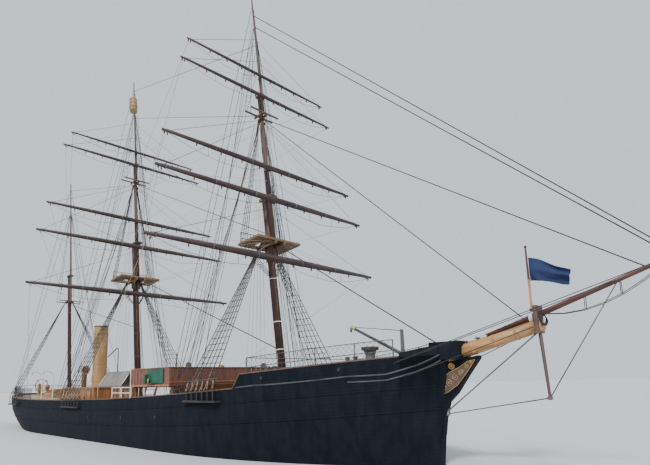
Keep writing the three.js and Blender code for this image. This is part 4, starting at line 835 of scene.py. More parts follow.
for side, word in SIDES.items():
    board = drawn(f"trailboard_{word}", [[(x, z, 0) for x, z in BOARD]], "2D", fill_mode="BOTH",
                  extrude=BOARD_HALF, bevel_depth=0.003)
    board.data.splines[0].use_cyclic_u = True
    bpy.ops.object.convert(target="MESH")
    set_at(board, (0, side * (KNEE_SIDE + BOARD_HALF), 0), on_edge)
    bpy.ops.object.transform_apply()
    finished(board, "brown_spar")
    y = side * (KNEE_SIDE + 2 * BOARD_HALF + 0.004)
    curls = [scroll(x, y, z, size, 1 if i % 2 else -1) for i, (x, z, size) in enumerate(SCROLLS)]
    curls += [[(x, y, z) for x, z in edge] for edge in (BOARD[:5], BOARD[4:] + BOARD[:1])]
    roped(f"trailboard_scrolls_{word}", curls, 0.009, "gold_leaf", round_by=1)
pipes = [turned(HAWSE, (13.62, side * KNEE_SIDE, 2.24), ATHWART * side, 14) for side in SIDES]
joined("hawse_pipes", pipes, "bronze")
print("head carved with", len(SCROLLS), "scrolls a side")

# %% [markdown]
# The jib-boom is steadied by guys to the bow, and the bowsprit by shrouds of its own. Footropes hang under
# the boom. A coil of dark rope hangs ahead of the cap, a white lashing holds the boom just abaft it, and a
# man-rope runs along the boom's top.

# %% Gear of the bowsprit
TIP, HEEL = Vector((18.115, 0, 4.049)), Vector((14.5, 0, 2.838))
FOOTROPE_BACK, FOOTROPE_LONG = 0.3, 2.2
boom = (TIP - HEEL).normalized()

def on_boom(back, side=0.0, up=0.0):
    return TIP - boom * back + Vector((0, side, up))


def under_boom(t, side):
    """A place on the footrope, which hangs slack along the boom's outer part."""
    return on_boom(FOOTROPE_BACK + FOOTROPE_LONG * t, side * 0.06, -0.05 - 1.04 * t * (1 - t))


guys, footropes = [], []
for side in SIDES:
    guys.append([on_boom(0.14, side * 0.045), Vector((12.72, side * 0.98, 2.36))])
    guys.append([on_boom(1.15, side * 0.05), Vector((12.6, side * 1.03, 2.3))])
    guys.append([Vector((15.52, side * 0.168, 2.95)), on_hull(12.9, side, 2.05)])
    footropes.append([under_boom(t / 6, side) for t in range(7)])
    footropes += [[on_boom(FOOTROPE_BACK + FOOTROPE_LONG * t, side * 0.05, -0.04), under_boom(t, side)]
                  for t in (0.35, 0.65)]
roped("bowsprit_guys", guys, 0.009, round_by=1)
roped("jib_boom_footropes", footropes, 0.0075)
coil = [loop((15.67 + 0.006 * i, 0, 3.12 - 0.012 * i), (0, 0.17, 0), (0, 0, 0.1)) for i in range(5)]
roped("coil_on_the_cap", coil, 0.011, round_by=1)
lashing = [loop(on_boom(2.78 + 0.02 * i), (0, 0.08, 0), (0, 0, 0.08)) for i in range(4)]
roped("boom_lashing", lashing, 0.011, "white_paint", round_by=1)
roped("boom_manrope", [[(14.02, -0.03, 2.757), (14.5, -0.03, 2.917), (15.42, -0.03, 3.227)]], 0.012,
      "white_paint", round_by=1)
print(len(guys), "guys and", len(coil), "turns of rope")

# %% [markdown]
# Hoops of iron bind the lower masts, white on the foremast. The platforms of the tops get their battens,
# edge boards and a rope rail on the after side, where a sailor would step over.

# %% Hoops on the masts and fittings of the tops
HOOPS = {"fore": (2.96, 3.83, 5.23), "main": (2.2, 3.2, 4.2, 5.3), "mizzen": (2.4, 3.6, 5.0)}
for name, heights in HOOPS.items():
    mast = MASTS[name]
    hoops = []
    for up in heights:
        r = mast.lower_radius(up) + 0.009
        hoops.append(hoop(r, r * 0.97, 0.016, 0.003, mast.at(0, 0, up), mast.up_mast(), 18))
    joined(f"{name}_mast_hoops", hoops, "white_paint" if name == "fore" else "moulding_grey")
boards = [((-0.46, y - 0.02, 0.002), (0.46, y + 0.02, 0.016)) for y in (0.24 * i - 0.84 for i in range(8))]
boards += [((-0.48, y - 0.012, -0.06), (0.48, y + 0.012, 0.02)) for y in (-0.91, 0.91)]
boards += [((x - 0.012, -0.92, -0.06), (x + 0.012, 0.92, 0.02)) for x in (-0.49, 0.49)]
RAIL_X, RAIL_Y, RAIL_POSTS, RAIL_UP = -0.46, 0.8, (-0.8, -0.4, 0.4, 0.8), (0.22, 0.42)
for name in SQUARE_RIGGED:
    mast = MASTS[name]
    lean = Matrix.Rotation(-mast.rake, 4, "Y")
    battens = [set_at(block(*board, 0.004), mast.at(0, 0, mast.top), lean) for board in boards]
    # the battens take the tops' wood, darkened with painted shade
    joined(f"{name}_top_battens", battens, "painted_shade_top_wood")
    rails = [[mast.at(RAIL_X, y, mast.top), mast.at(RAIL_X, y, mast.top + RAIL_UP[1])] for y in RAIL_POSTS]
    rails += [[mast.at(RAIL_X, side * RAIL_Y, mast.top + up) for side in SIDES] for up in RAIL_UP]
    roped(f"{name}_top_rail", rails, 0.012, round_by=1)
print(sum(len(heights) for heights in HOOPS.values()), "hoops")

# %% [markdown]
# Blocks: wooden shells with rounded cheeks, on which the ropes turn. One is shaped from a bun pressed flat,
# and copies hang at the yardarms, under the yards and along the masts.

# %% Hang the blocks
SHELL, SHELL_FLAT = ((0.35, -1), (0.62, -0.6), (0.68, 0), (0.62, 0.6), (0.35, 1)), 0.55

def block_shell(size=0.05):
    shell = turned([(size * wide, size * high) for wide, high in SHELL], sides=8)
    shell.scale = (1, SHELL_FLAT, 1)
    bpy.ops.object.transform_apply()
    return shell


for yard in YARDS:
    spots = [yard.at(y, -yard.radius_at(y) - 0.045) for y in yard.out(0.12, 0.3, 0.5, 0.72, 0.96)]
    spots += [yard.at(y, 0, -yard.radius_at(y) - 0.04) for y in yard.out(0.97)]
    repeated(f"{yard.body}_blocks", block_shell(), spots, "dark_red_spar", yard.body)
spots = []
for mast in (MASTS[name] for name in SQUARE_RIGGED):
    for side in SIDES:
        spots += [mast.at(-0.05 * i, side * 0.3, mast.top - 0.2) for i in range(5)]
        spots.append(mast.at(0.2, side * 0.2, mast.cap - 0.16))
        spots.append(mast.at(mast.topmast, side * 0.13, mast.crosstrees - 0.3))
repeated("masthead_blocks", block_shell(), spots, "dark_red_spar")
print(len(spots), "blocks at the mastheads")

# %% [markdown]
# Buntlines and clew lines run from each yard to the mast above it. They would gather up the sails, if any
# were bent. They are made like the lifts.

# %% Buntlines and clew lines
BUNTLINE_RISE = {"course": 0.62, "lower_topsail": 0.75, "upper_topsail": 1.7, "topgallant": 0.75,
                 "royal": 0.9}
LOWER_LEADS = {"course": 0.28, "lower_topsail": 0.2, "upper_topsail": 0.2}
for yard in YARDS:
    rise = BUNTLINE_RISE[yard.sail]
    ahead = LOWER_LEADS.get(yard.sail, yard.mast.pole) + 0.1
    lines = [[yard.at(y, yard.radius_at(y)), yard.mast.at(ahead, math.copysign(0.14, y), yard.up + rise)]
             for y in yard.out(0.2, 0.42, 0.66)]
    start, end = (0, 0, yard.at(0).z + 0.05), (0, 0, yard.at(0, rise).z)
    rig_between(yard, "buntlines", lines, 0.0045, start, end, "manila")
print("buntlines rove")

# %% [markdown]
# The bulwarks are stiffened inside by stanchions. Pin rails abreast of the masts and fife rails abaft them
# carry the belaying pins: a pin is turned once and copied, and so is every stanchion. Falls hang coiled on
# every second pin.

# %% Bulwark stanchions, pin rails and belaying pins
PIN_RAILS, PIN_GAP, FIFE_HALF = ((8.3, 6.0), (-0.5, -3.1), (-4.0, -5.6)), 0.13, 0.62
PIN = [(0.01, -0.11), (0.01, 0.0), (0.018, 0.02), (0.013, 0.05), (0.018, 0.09), (0.008, 0.11)]
posts = [(x, side * (rail_half(x) - 0.1), main_deck(x))
         for side in SIDES for x in (-6.2 + 0.55 * i for i in range(28))]
repeated("bulwark_stanchions", block((-0.022, -0.038, 0), (0.022, 0.038, 0.55)), posts, "red_brown_paint")
shelves, pins = [], []
for first, last in PIN_RAILS:
    middle = (first + last) / 2
    z = sheer(middle) - 0.14
    for side in SIDES:
        y = side * (rail_half(middle) - 0.15)
        shelves.append(((last, y - 0.055, z - 0.015), (first, y + 0.055, z + 0.015)))
        pins += [(last + 0.08 + PIN_GAP * i, y, z) for i in range(int((first - last) / PIN_GAP))]
for name in SQUARE_RIGGED:
    x = MASTS[name].x - 0.42
    z = main_deck(x) + 0.42
    shelves.append(((x - 0.05, -FIFE_HALF, z - 0.02), (x + 0.05, FIFE_HALF, z + 0.02)))
    shelves += [((x - 0.045, y - 0.045, main_deck(x)), (x + 0.045, y + 0.045, z + 0.08))
                for y in (-FIFE_HALF, FIFE_HALF)]
    pins += [(x, -0.5 + 0.125 * i, z) for i in range(9)]
blocks("pin_rails", shelves, "varnished_wood")
repeated("belaying_pins", turned(PIN, sides=8), pins, "bronze")
coils = []
for x, y, z in pins[::2]:
    width = dice.uniform(0.03, 0.045)
    half_drop = dice.uniform(0.14, 0.2) / 2
    coils.append(loop((x, y, z - 0.03 - half_drop), (0, 0, half_drop), (width, 0, 0), 10))
roped("coiled_falls", coils, 0.012, "manila")
print(len(posts), "stanchions,", len(pins), "pins,", len(coils), "coils")

# %% [markdown]
# Doors, windows and ports are joiner's work: a frame, a panel or a pane set in it, and a knob or a brass
# rim. One maker of each is used for the bridge house, the after house and the bulkheads of poop and
# forecastle. It draws them flat, as a joiner would, and turns them to the wall they stand on.

# %% Makers of doors and windows
frames, panels, panes, knobs = [], [], [], []
LINING, SASH, STILE = 0.035, 0.03, 0.05

def on_wall(centre, facing, boxes):
    """Boxes drawn as width, height and depth ranges, turned to face a direction."""
    along = UP.cross(facing)
    made = []
    for box in boxes:
        corners = [Vector(centre) + along * u + UP * v + facing * d for u, v, d in box]
        made.append(([min(pair) for pair in zip(*corners)], [max(pair) for pair in zip(*corners)]))
    return made


def door(centre, facing, width=0.36, height=0.84):
    w, h = width / 2, height / 2
    frames.extend(on_wall(centre, facing, [
        ((-w - LINING, -h, 0), (-w, h + LINING, 0.03)), ((w, -h, 0), (w + LINING, h + LINING, 0.03)),
        ((-w, h, 0), (w, h + LINING, 0.03))]))
    panels.extend(on_wall(centre, facing, [
        ((-w, -h, 0), (w, h, 0.014)), ((-w + STILE, -h + 0.07, 0.012), (w - STILE, -0.05, 0.022)),
        ((-w + STILE, 0.03, 0.012), (w - STILE, h - 0.07, 0.022))]))
    knobs.append(Vector(centre) + UP.cross(facing) * (w - 0.035) + facing * 0.035)


def window(centre, facing, width=0.3, height=0.26):
    w, h = width / 2, height / 2
    frames.extend(on_wall(centre, facing, [
        ((-w - SASH, -h - SASH, 0), (-w, h + SASH, 0.024)), ((w, -h - SASH, 0), (w + SASH, h + SASH, 0.024)),
        ((-w, h, 0), (w, h + SASH, 0.024)), ((-w, -h - SASH, 0), (w, -h, 0.034)),
        ((-0.009, -h, 0), (0.009, h, 0.018))]))
    panes.extend(on_wall(centre, facing, [((-w, -h, 0), (w, h, 0.01))]))

# %% [markdown]
# The same two makers then fit every door and window. The after house has round ports instead of windows,
# each a bronze rim turned with a rounded lip, and a light of thick glass.

# %% Doors, windows and ports of the houses
HOUSE_SIDE, PORT_X, PORT_Z = 1.15, (-3.6, -4.1, -4.6, -5.1), 1.48
KNOB = [(0.006, -0.02), (0.006, 0), (0.015, 0.008), (0.012, 0.02)]
RIM = [(0.085, 0), (0.105, 0), (0.1, 0.02), (0.08, 0.022), (0.07, 0.006)]
LIGHT = [(0.078, 0), (0.078, 0.008), (0.03, 0.014)]
for side in SIDES:
    out = ATHWART * side
    for x in (3.8, 4.9):
        window((x, side * HOUSE_SIDE, 1.6), out)
    door((4.35, side * HOUSE_SIDE, 1.5), out)
    for x in (-3.1, -5.6):
        door((x, side * HOUSE_SIDE, 1.36), out)
    door((8.86, side * 1.2, main_deck(8.86) + 0.42), -AHEAD, height=0.74)
    door((-6.36, side * 0.9, main_deck(-6.36) + 0.3), AHEAD, height=0.5)
for y in (-0.7, 0, 0.7):
    window((5.45, y, 1.62), AHEAD)
door((-2.6, 0.4, 1.36), AHEAD)
door((3.5, 0.3, 1.48), -AHEAD)
blocks("door_and_window_frames", frames, "varnished_wood")
blocks("door_panels", panels, "tan_wood")
blocks("window_panes", panes, "glass", bevel=0.002)
repeated("door_knobs", turned(KNOB, sides=8), knobs, "bronze")
ports = [((x, side * HOUSE_SIDE, PORT_Z), ATHWART * side, 16) for side in SIDES for x in PORT_X]
joined("port_rims", [turned(RIM, *port) for port in ports], "bronze")
joined("port_lights", [turned(LIGHT, *port) for port in ports], "glass")
print(len(knobs), "doors,", len(panes), "windows,", len(ports), "ports")

# %% [markdown]
# The roofs and the bridge get their edge boards and battens, each a bevelled board, because a plain wall
# would look like a sheet. The side lights stand in painted screens on the bridge's wings, green to
# starboard and red to port.

# %% Trim of the houses and the bridge
ROOF_LOW, ROOF_HIGH, BRIDGE_AFT, BRIDGE_FORE, WALL_TOP = 1.86, 1.93, 3.35, 5.7, 2.475
WING, SCREEN_Y, SHELF = 2.5, 2.575, 0.13
edges = [((-6.04, y, ROOF_LOW), (-2.56, y + 0.04, ROOF_HIGH)) for y in (-1.19, HOUSE_SIDE)]
edges += [((x, -HOUSE_SIDE, ROOF_LOW), (x + 0.04, HOUSE_SIDE, ROOF_HIGH)) for x in (-6.04, -2.6)]
edges += [((BRIDGE_AFT, side * 2.525 - 0.035, WALL_TOP), (5.72, side * 2.525 + 0.035, 2.5)) for side in SIDES]
edges += [((5.65, -2.49, WALL_TOP), (5.73, 2.49, 2.5)), ((BRIDGE_FORE, -2.56, 2.02), (5.722, 2.56, 2.06))]
edges += [((BRIDGE_AFT, side * 2.55 - 0.012, 1.92), (BRIDGE_FORE, side * 2.55 + 0.012, 1.98))
          for side in SIDES]
blocks("roof_and_bridge_edges", edges, "varnished_wood")
battens = [((BRIDGE_FORE, y - 0.012, 2.06), (5.712, y + 0.012, WALL_TOP))
           for y in (0.25 * i - WING for i in range(21))]
battens += [((x - 0.012, side * 2.546 - 0.008, 1.99), (x + 0.012, side * 2.546 + 0.008, WALL_TOP))
            for side in SIDES for x in (3.37 + 0.2 * i for i in range(6))]
blocks("bridge_battens", battens, "red_brown_paint", bevel=0.003)
for side, colour in ((STARBOARD, "green"), (PORT, "red")):
    y = side * SCREEN_Y
    near, far = sorted((y, y + side * SHELF))
    screen = [((4.5, y - 0.014, 2.02), (5.4, y + 0.014, 2.46)), ((4.5, near, 2.02), (4.525, far, 2.3)),
              ((4.5, near, 2.0), (4.95, far, 2.02))]
    blocks(f"side_screen_{colour}", screen, f"{colour}_paint")
LAMP = [(0.035, 0), (0.04, 0.02), (0.04, 0.1), (0.02, 0.13), (0.012, 0.16)]
joined("side_lights", [turned(LAMP, (4.64, side * 2.64, 2.02), sides=10) for side in SIDES], "bronze")
beams = [((x - 0.025, -WING, 1.885), (x + 0.025, WING, 1.935)) for x in (3.42, 5.6)]
blocks("bridge_beams", beams, "varnished_wood")
print(len(edges), "edge boards,", len(battens), "battens")

# %% [markdown]
# On the bridge stand a compass, two telegraphs and a bare post. Compass and telegraphs are turned, as a
# brazier's castings are. White stanchions carry the bridge's wings and the rail abaft it.

# %% Fittings of the bridge
BRIDGE_FLOOR = 1.985
COMPASS = [(0.14, 0), (0.14, 0.03), (0.08, 0.06), (0.075, 0.4), (0.12, 0.46), (0.12, 0.5), (0.1, 0.58),
           (0.04, 0.62)]
PEDESTAL = [(0.09, 0), (0.05, 0.03), (0.04, 0.42), (0.05, 0.45)]
DIAL = [(0.08, -0.045), (0.12, -0.04), (0.12, 0.04), (0.08, 0.045)]
joined("bridge_compass", [turned(COMPASS, (4.9, 0, BRIDGE_FLOOR), sides=14)], "bronze")
telegraphs = []
for y in (-1.6, 1.6):
    telegraphs.append(turned(PEDESTAL, (5.3, y, BRIDGE_FLOOR)))
    telegraphs.append(turned(DIAL, (5.3, y, 2.54), ATHWART, 16))
joined("bridge_telegraphs", telegraphs, "grey_iron")
roped("bridge_post", [[(4.6, -1.6, 1.98), (4.6, -1.6, 3.0)]], 0.02, "grey_iron", round_by=2)
white = []
for y in (side * WING for side in SIDES):
    white += [[(x, y, sheer(x) + 0.02), (x, y, 1.9)] for x in (1.9, 2.6, 3.3)]
    white += [[(1.9, y, z), (3.35, y, z)] for z in (1.72, 1.9)]
    white.append([(3.36, y * 1.028, sheer(3.4)), (3.36, y * 1.028, 2.52)])
    white += [[(x, y, sheer(x) + 0.02), (x, y, 1.93)] for x in (4.15, 5.05, 5.45)]
roped("white_stanchions", white, 0.017, "white_paint", round_by=2)
print(len(white), "white rods")

# %% [markdown]
# Ladders lead from the waist to the poop, the forecastle and the bridge. Each is two sloping side boards
# with treads let in between. A board is made upright and turned to the slope, so that its ends stay square.

# %% Ladders
STEP_RISE, STRING, TREAD = 0.15, (0.05, 0.014), (0.055, 0.01)

def ladder_way(name, foot, head, width=0.4):
    foot = Vector(foot)
    run = Vector(head) - foot
    slope = UP.rotation_difference(run.normalized()).to_matrix().to_4x4()
    deep, thick = STRING
    parts = [set_at(block((-deep, -thick, 0), (deep, thick, run.length), 0.004),
                    foot + ATHWART * side * width / 2, slope) for side in SIDES]
    count = max(3, int(run.z / STEP_RISE))
    reach = Vector((TREAD[0], width / 2, TREAD[1]))
    for spot in (foot + run * (i / count) for i in range(1, count)):
        parts.append(block(spot - reach, spot + reach, 0.003))
    joined(name, parts, "varnished_wood")


for side, word in SIDES.items():
    y = side * 1.85
    ladder_way(f"forecastle_ladder_{word}", (8.42, y, main_deck(8.42)), (8.82, y, forecastle_deck(8.9)))
    y = side * 1.7
    ladder_way(f"poop_ladder_{word}", (-6.05, y, main_deck(-6.05)), (-6.34, y, poop_deck(-6.4)))
    y = side * 1.75
    ladder_way(f"bridge_ladder_{word}", (2.85, y, main_deck(2.85)), (3.32, y, BRIDGE_FLOOR))
print("six ladders")

# %% [markdown]
# The skylight is a small glazed roof: each pane has its sash and a row of guard rods, made flat and then
# tilted to the slope of its side. A turned binnacle stands before the wheel.

# %% Skylight and binnacle
HALF_SPAN, EAVE, RIDGE, PANES = 0.42, 1.63, 1.86, 4
SASHES = (((-0.15, -0.2, 0), (-0.125, 0.2, 0.026)), ((0.125, -0.2, 0), (0.15, 0.2, 0.026)),
          ((-0.125, -0.2, 0), (0.125, -0.17, 0.026)), ((-0.125, 0.17, 0), (0.125, 0.2, 0.026)))
bars, sheets = [], []
for side in SIDES:
    tilt = Matrix.Rotation(-side * math.atan2(RIDGE - EAVE, HALF_SPAN), 4, "X")
    for i in range(PANES):
        centre = Vector((-10.51 + 0.345 * i, side * HALF_SPAN / 2, (EAVE + RIDGE) / 2))
        sheets.append(set_at(block((-0.125, -0.17, 0), (0.125, 0.17, 0.012), 0.003), centre, tilt))
        for u in (-0.09, -0.045, 0, 0.045, 0.09):
            rod = block((u - 0.004, -0.17, 0.022), (u + 0.004, 0.17, 0.03), 0.002)
            bars.append(set_at(rod, centre, tilt))
        bars += [set_at(block(*sash, 0.004), centre, tilt) for sash in SASHES]
joined("skylight_panes", sheets, "glass")
joined("skylight_sashes", bars, "varnished_wood")
BINNACLE = [(0.15, 0), (0.15, 0.04), (0.09, 0.08), (0.085, 0.42), (0.13, 0.48), (0.13, 0.53),
            (0.11, 0.62), (0.04, 0.67)]
joined("binnacle", [turned(BINNACLE, (-11.3, 0, poop_deck(-11.3)), sides=16)], "bronze")
print(len(sheets), "panes,", len(bars), "bars")

# %% [markdown]
# A net is laced into the open rails of poop and forecastle. It is two families of slanting cords that
# cross, because a plane with a net painted on it would vanish when seen along the rail.

# %% Netting
MESH_WIDTH, ROWS = 0.12, (0, 0.33, 0.66, 1)

def netted(name, start, stop, inset, height, deck):
    count = int((stop - start) / MESH_WIDTH)

    def knot(side, i, t):
        x = start + (stop - start) * i / count
        return Vector((x, side * rail_half(x, inset), deck(x) + 0.03 + (height - 0.04) * t))

    net = [[knot(side, i + (row + lean) % 2, t) for row, t in enumerate(ROWS)]
           for side in SIDES for i in range(count) for lean in (0, 1)]
    roped(f"{name}_netting", net, 0.004)
    return len(net)


cords = netted("poop", -13.7, -6.5, inset=0.12, height=0.56, deck=poop_deck)
cords += netted("forecastle", 9.0, 12.6, inset=0.13, height=0.5, deck=forecastle_deck)
print(cords, "cords in the nets")

# %% [markdown]
# The davits on the quarter are bent tubes that stand empty, with a block under the head, and a small one
# stands on the roof of the after house. A tube is a thick rope along a bent line.

# %% Davits
DAVIT_X, DAVIT_UP, BEND_OUT, BEND_UP = (-5.18, -3.85), 0.95, 0.34, 0.3
HOUSE_DAVIT = [(-2.85, 0, 1.92), (-2.85, 0, 3.5), (-2.89, 0, 3.61), (-3.0, 0, 3.65), (-3.85, 0, 3.3)]
bend = [math.pi * t / 12 for t in range(1, 8)]
davits, spots = [], []
for side in SIDES:
    for x in DAVIT_X:
        y = side * 2.42
        neck = sheer(x) + DAVIT_UP
        tube = [(x, y, sheer(x) - 0.3), (x, y, neck)]
        tube += [(x, y + side * BEND_OUT * (1 - math.cos(a)), neck + BEND_UP * math.sin(a)) for a in bend]
        davits.append(tube)
        spots.append(Vector(tube[-1]) - UP * 0.07)
roped("davits", davits, 0.024, "white_paint", round_by=2)
repeated("davit_blocks", block_shell(), spots, "varnished_wood")
roped("house_davit", [HOUSE_DAVIT], 0.026, "grey_iron", round_by=2)
print(len(davits), "davits on the quarters")

# %% [markdown]
# The funnel gets a dark rim, bands, guys and a steam pipe, the ventilator a maroon mouth, and the barrel at
# the main truck its hoops and staves.

# %% Funnel, ventilator and barrel
FUNNEL_X, FUNNEL_BANDS = -4.7, (2.2, 3.0, 3.8, 4.45)
BARREL_AHEAD, BARREL_FOOT, STAVES = 0.23, 15.09, 20
rings = [hoop(0.337, 0.327, 0.02, 0.004, (FUNNEL_X, 0, up), UP, 28) for up in FUNNEL_BANDS]
joined("funnel_bands", rings, "funnel_buff")
roped("funnel_rim", [loop((FUNNEL_X, 0, 4.79), (0.325, 0, 0), (0, 0.325, 0), 32)], 0.024, round_by=2)
roped("steam_pipe", [[(-5.1, 0, 1.9), (-5.1, 0, 4.6), (-5.11, 0, 4.85)]], 0.045, "funnel_buff", round_by=3)
guys = [[(FUNNEL_X + 0.33 * c, 0.33 * s, 4.46), (FUNNEL_X + 1.2 * c, 1.1 * s, 1.93)]
        for c, s in ((0.7, 0.7), (0.7, -0.7), (-0.9, 0.75), (-0.9, -0.75))]
roped("funnel_guys", guys, 0.008, round_by=1)
axis = Vector((1, 0, 0.1)).normalized()
mouth = turned([(0.178, 0), (0.17, 0.002), (0.1, 0.004), (0.03, 0.005)],
               Vector((-5.74, -0.3, 2.72)) + axis * 0.135, axis, 20)
joined("ventilator_mouth", [mouth], "maroon_paint")
hoops = [hoop(r, r * 0.985, 0.016, 0.004, main.at(BARREL_AHEAD, 0, BARREL_FOOT + h), main.up_mast(), 24)
         for h, r in ((0.06, 0.177), (0.26, 0.194), (0.46, 0.194), (0.68, 0.181))]
joined("barrel_hoops", hoops, "grey_iron")
staves = []
for a in (2 * math.pi * i / STAVES for i in range(STAVES)):
    staves.append([main.at(BARREL_AHEAD + r * math.cos(a), r * math.sin(a), BARREL_FOOT + h)
                   for h, r in ((0.01, 0.168), (0.365, 0.19), (0.72, 0.172))])
roped("barrel_staves", staves, 0.006, "tan_wood")
print(len(rings), "bands on the funnel,", len(staves), "staves in the barrel")

# %% [markdown]
# Bollards for the warps, a brass hub and turned grips on the wheel, and sockets for the capstan's bars
# finish the decks. What is fitted to the wheel and the capstan turns with them.

# %% Bollards, wheel and capstan
BOLLARD = [(0.06, 0), (0.05, 0.02), (0.05, 0.17), (0.065, 0.19), (0.06, 0.22), (0.03, 0.23)]
BOLLARDS = ((9.6, forecastle_deck), (11.7, forecastle_deck), (6.2, main_deck), (-3.6, main_deck),
            (-12.4, poop_deck))
HUB = [(0.062, 0), (0.062, 0.01), (0.045, 0.025), (0.02, 0.03)]
GRIP = [(0.012, 0), (0.02, 0.02), (0.014, 0.05), (0.018, 0.08), (0.008, 0.095)]
WHEEL_X, WHEEL_Z, CAPSTAN_X = -12.25, 2.08, 11.3
EIGHTHS = [i * math.pi / 4 for i in range(8)]
stumps = [(x + dx, side * (rail_half(x) - 0.36), deck(x))
          for x, deck in BOLLARDS for side in SIDES for dx in (-0.12, 0.12)]
repeated("bollards", turned(BOLLARD), stumps, "grey_iron")
joined("wheel_brasses", [turned(HUB, (WHEEL_X + 0.045, 0, WHEEL_Z), AHEAD, 20)], "bronze", "steering_wheel")
grips, holes = [], []
for a in EIGHTHS:
    out = Vector((0, math.cos(a), math.sin(a)))
    grips.append(turned(GRIP, Vector((WHEEL_X, 0, WHEEL_Z)) + out * 0.365, out, 8))
    out = Vector((math.cos(a), math.sin(a), 0))
    spot = Vector((CAPSTAN_X, 0, forecastle_deck(CAPSTAN_X) + 0.505)) + out * 0.217
    holes.append(turned([(0.03, 0), (0.03, 0.012), (0.02, 0.014)], spot, out, 8))
joined("wheel_grips", grips, "varnished_wood", "steering_wheel")
joined("capstan_sockets", holes, "tarred_wire", "capstan")
print(len(stumps), "bollards")

# %% [markdown]
# Gammoning bands, painted like the bowsprit, hold it down, and cleats across its top give a foothold.
# Scuppers drain the decks through the side, straps hold the rudder's planks, and the crane's boom has a
# painted head.

# %% Small ironwork outside the hull
BUTT, NOSE = Vector((12.95, 0, 2.32)), Vector((15.65, 0, 2.998))
BUTT_RADIUS, SPRIT_TAPER = 0.176, 0.036 / 2.78
SCUPPERS = [(x, main_deck(x) - 0.06) for x in (-5.4, -3.0, 0.2, 2.8, 5.0)]
SCUPPERS += [(x, forecastle_deck(x) - 0.07) for x in (9.6, 11.6)]
DRAIN = [(0.03, -0.02), (0.045, -0.01), (0.045, 0.012), (0.034, 0.018), (0.02, 0.006)]
sprit = (NOSE - BUTT).normalized()
bands = []
for along in (1.25, 1.75, 2.25):
    r = BUTT_RADIUS - SPRIT_TAPER * along
    bands.append(hoop(r, r * 0.97, 0.03, 0.005, BUTT + sprit * along, sprit, 8))
joined("gammoning_bands", bands, "ochre_spar")
steeve = Matrix.Rotation(-math.atan2(sprit.z, sprit.x), 4, "Y")
cleats = []
for along in (1.1, 1.35, 1.6):
    cleat = block((-0.02, -0.1, -0.01), (0.02, 0.1, 0.03), 0.005)
    cleats.append(set_at(cleat, BUTT + sprit * along + UP * 0.165, steeve))
joined("bowsprit_cleats", cleats, "brown_spar")
drains = [turned(DRAIN, on_hull(x, side, z), ATHWART * side) for side in SIDES for x, z in SCUPPERS]
joined("scuppers", drains, "tarred_wire")
straps = [((-13.75, -0.052, z - 0.035), (-13.2, 0.052, z + 0.035)) for z in (-1.9, -1.1, -0.35)]
blocks("rudder_straps", straps, "grey_iron", "rudder", 0.008)
crane_foot, crane_end = Vector((12.3, 0, 2.57)), Vector((10.701, 0, 3.392))
reach = (crane_end - crane_foot).normalized()
head = turned([(0.03, 0), (0.046, 0.01), (0.046, 0.16), (0.035, 0.18)], crane_end - reach * 0.17, reach)
joined("crane_head", [head], "lime_paint", "anchor_crane")
joined("crane_sheave", [set_at(block_shell(0.06), crane_end - UP * 0.09)], "grey_iron", "anchor_crane")
print(len(drains), "scuppers")

# %% [markdown]
# The flag and the awning are cloth. Each starts as a grid laid roughly where it hangs, is pinned where it
# is laced, and is then left to a short cloth simulation, because folds drawn by hand look stiff. Its
# thickness comes last.

# %% Helpers for cloth
def laid_grid(name, cells, place):
    """A grid of cells, each of its points moved to place(u, v), with u and v from 0 to 1."""
    bpy.ops.mesh.primitive_grid_add(x_subdivisions=cells[0], y_subdivisions=cells[1], size=1)
    grid = bpy.context.object
    grid.name = name
    for point in grid.data.vertices:
        point.co = place(point.co.x + 0.5, point.co.y + 0.5)
    bpy.ops.object.mode_set(mode="EDIT")
    bpy.ops.mesh.select_all(action="SELECT")
    bpy.ops.mesh.normals_make_consistent(inside=False)
    bpy.ops.object.mode_set(mode="OBJECT")
    return grid


def let_hang(cloth, laced, frames, mass, stiffness):
    group = cloth.vertex_groups.new(name="laced")
    group.add(laced, 1.0, "REPLACE")
    only(cloth)
    weave = cloth.modifiers.new("weave", "CLOTH")
    weave.settings.quality = 8
    weave.settings.mass = mass
    weave.settings.tension_stiffness = stiffness
    weave.settings.compression_stiffness = stiffness
    weave.settings.bending_stiffness = 0.3
    weave.settings.vertex_group_mass = "laced"
    weave.point_cache.frame_start, weave.point_cache.frame_end = 1, frames
    for moment in range(1, frames + 1):
        scene.frame_set(moment)
    bpy.ops.object.modifier_apply(modifier="weave")
    scene.frame_set(1)


def thickened(cloth, thickness):
    only(cloth)
    body = cloth.modifiers.new("thickness", "SOLIDIFY")
    body.thickness = thickness
    body.offset = 0
    bpy.ops.object.modifier_apply(modifier="thickness")
    bpy.ops.object.shade_smooth()

NEAR = 1e-4
print("cloth is simulated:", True)

# %% [markdown]
# The flag hangs in a light breeze from astern. Its grid starts with the droop and the folds of a hanging
# flag, so that a few steps of simulation are enough to settle it. The jack staff is ochre below and dark
# red above.

# %% Hang the flag
FLAG_WIDTH, FLAG_DEPTH, FLAG_CELLS, STAFF_X = 0.81, 0.5, (26, 20), 15.5
FLAG_FOOT, HEAD_DROOP, FOOT_DROOP, FOLDS = 3.92, 0.33, 0.036, 1.5
WIND, WIND_TURN, WIND_FROM = 1000, (0, math.radians(90), math.radians(6)), (15, 0, 4)

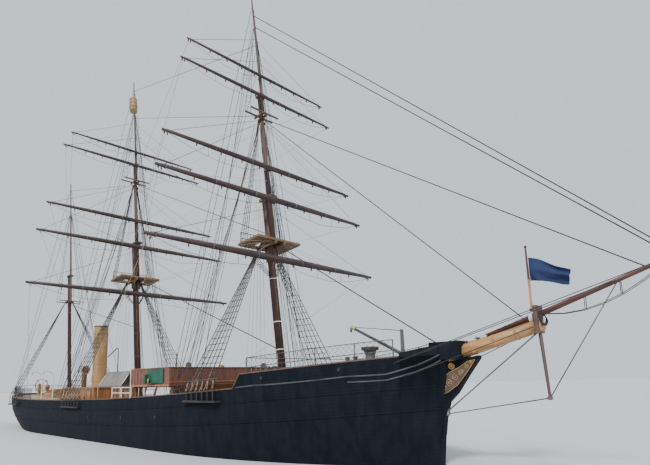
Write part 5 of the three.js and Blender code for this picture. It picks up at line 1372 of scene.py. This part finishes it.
def drooping(u, v):
    """The flag droops towards its fly, where the cloth it has too much of lies in folds along it."""
    tall = FLAG_DEPTH - HEAD_DROOP * u ** 1.1 + FOOT_DROOP * u
    steep = math.sqrt(2.3 * ((FLAG_DEPTH / tall) ** 2 - 1))
    fold = steep * tall / (2 * math.pi * FOLDS) * math.sin(2 * math.pi * FOLDS * v)
    wave = -0.03 * u ** 0.5 * math.sin(8 * u)
    return Vector((STAFF_X + FLAG_WIDTH * 0.98 * u, fold + wave, FLAG_FOOT - FOOT_DROOP * u + tall * v))


flag = laid_grid("flag", FLAG_CELLS, drooping)
hoist = [point.index for point in flag.data.vertices if point.co.x < STAFF_X + NEAR]
bpy.ops.object.effector_add(type="WIND", rotation=WIND_TURN, location=WIND_FROM)
breeze = bpy.context.object
breeze.field.strength = WIND
breeze.field.noise = 4
breeze.field.seed = 3
let_hang(flag, hoist, frames=20, mass=0.02, stiffness=25)
bpy.data.objects.remove(breeze)
thickened(flag, 0.003)
finished(flag, "blue_bunting")
STAFF = {"lower": ([(0.027, 3.34), (0.024, 3.95)], "ochre_spar"),
         "upper": ([(0.023, 3.95), (0.018, 4.63), (0.03, 4.64), (0.03, 4.67), (0.01, 4.68)], "dark_red_spar")}
for part, (profile, paint) in STAFF.items():
    joined(f"jack_staff_{part}", [turned(profile, (15.47, 0, 0))], paint)
roped("flag_halyard", [[(15.495, 0, 3.4), (STAFF_X, 0, 3.91), (STAFF_X, 0, 4.43), (15.49, 0, 4.63)]], 0.004,
      "white_paint")
print("flag of", FLAG_WIDTH, "by", FLAG_DEPTH, "m")

# %% [markdown]
# The awning is laced to its ridge and at every fourth cell to its eaves, so it only sags a little between
# them. It stands for the CAD model's plain awning.

# %% Stretch the awning
AWNING_AFT, AWNING_LONG, RIDGE_Y, RIDGE_Z = -0.7, 2.0, -1.5, 2.49
EAVE_DROP, SPREAD, AWNING_CELLS, LACE_EVERY = 0.57, 0.41, (24, 16), 4
slant = math.hypot(EAVE_DROP, SPREAD)

def tent(u, v):
    w = 2 * v - 1
    return Vector((AWNING_AFT + AWNING_LONG * u, RIDGE_Y + SPREAD * w, RIDGE_Z + 0.014 - EAVE_DROP * abs(w)))


def is_laced(place):
    out = abs(place.y - RIDGE_Y)
    cell = round((place.x - AWNING_AFT) / AWNING_LONG * AWNING_CELLS[0])
    return out < NEAR or (abs(out - SPREAD) < NEAR and cell % LACE_EVERY == 0)


awning = laid_grid("awning_cloth", AWNING_CELLS, tent)
laced = [point.index for point in awning.data.vertices if is_laced(point.co)]
let_hang(awning, laced, frames=24, mass=0.3, stiffness=40)
thickened(awning, 0.006)
finished(awning, "grey_canvas")
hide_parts("awning")
print("awning of", AWNING_LONG, "by", round(2 * slant, 3), "m, laced at", len(laced), "points")
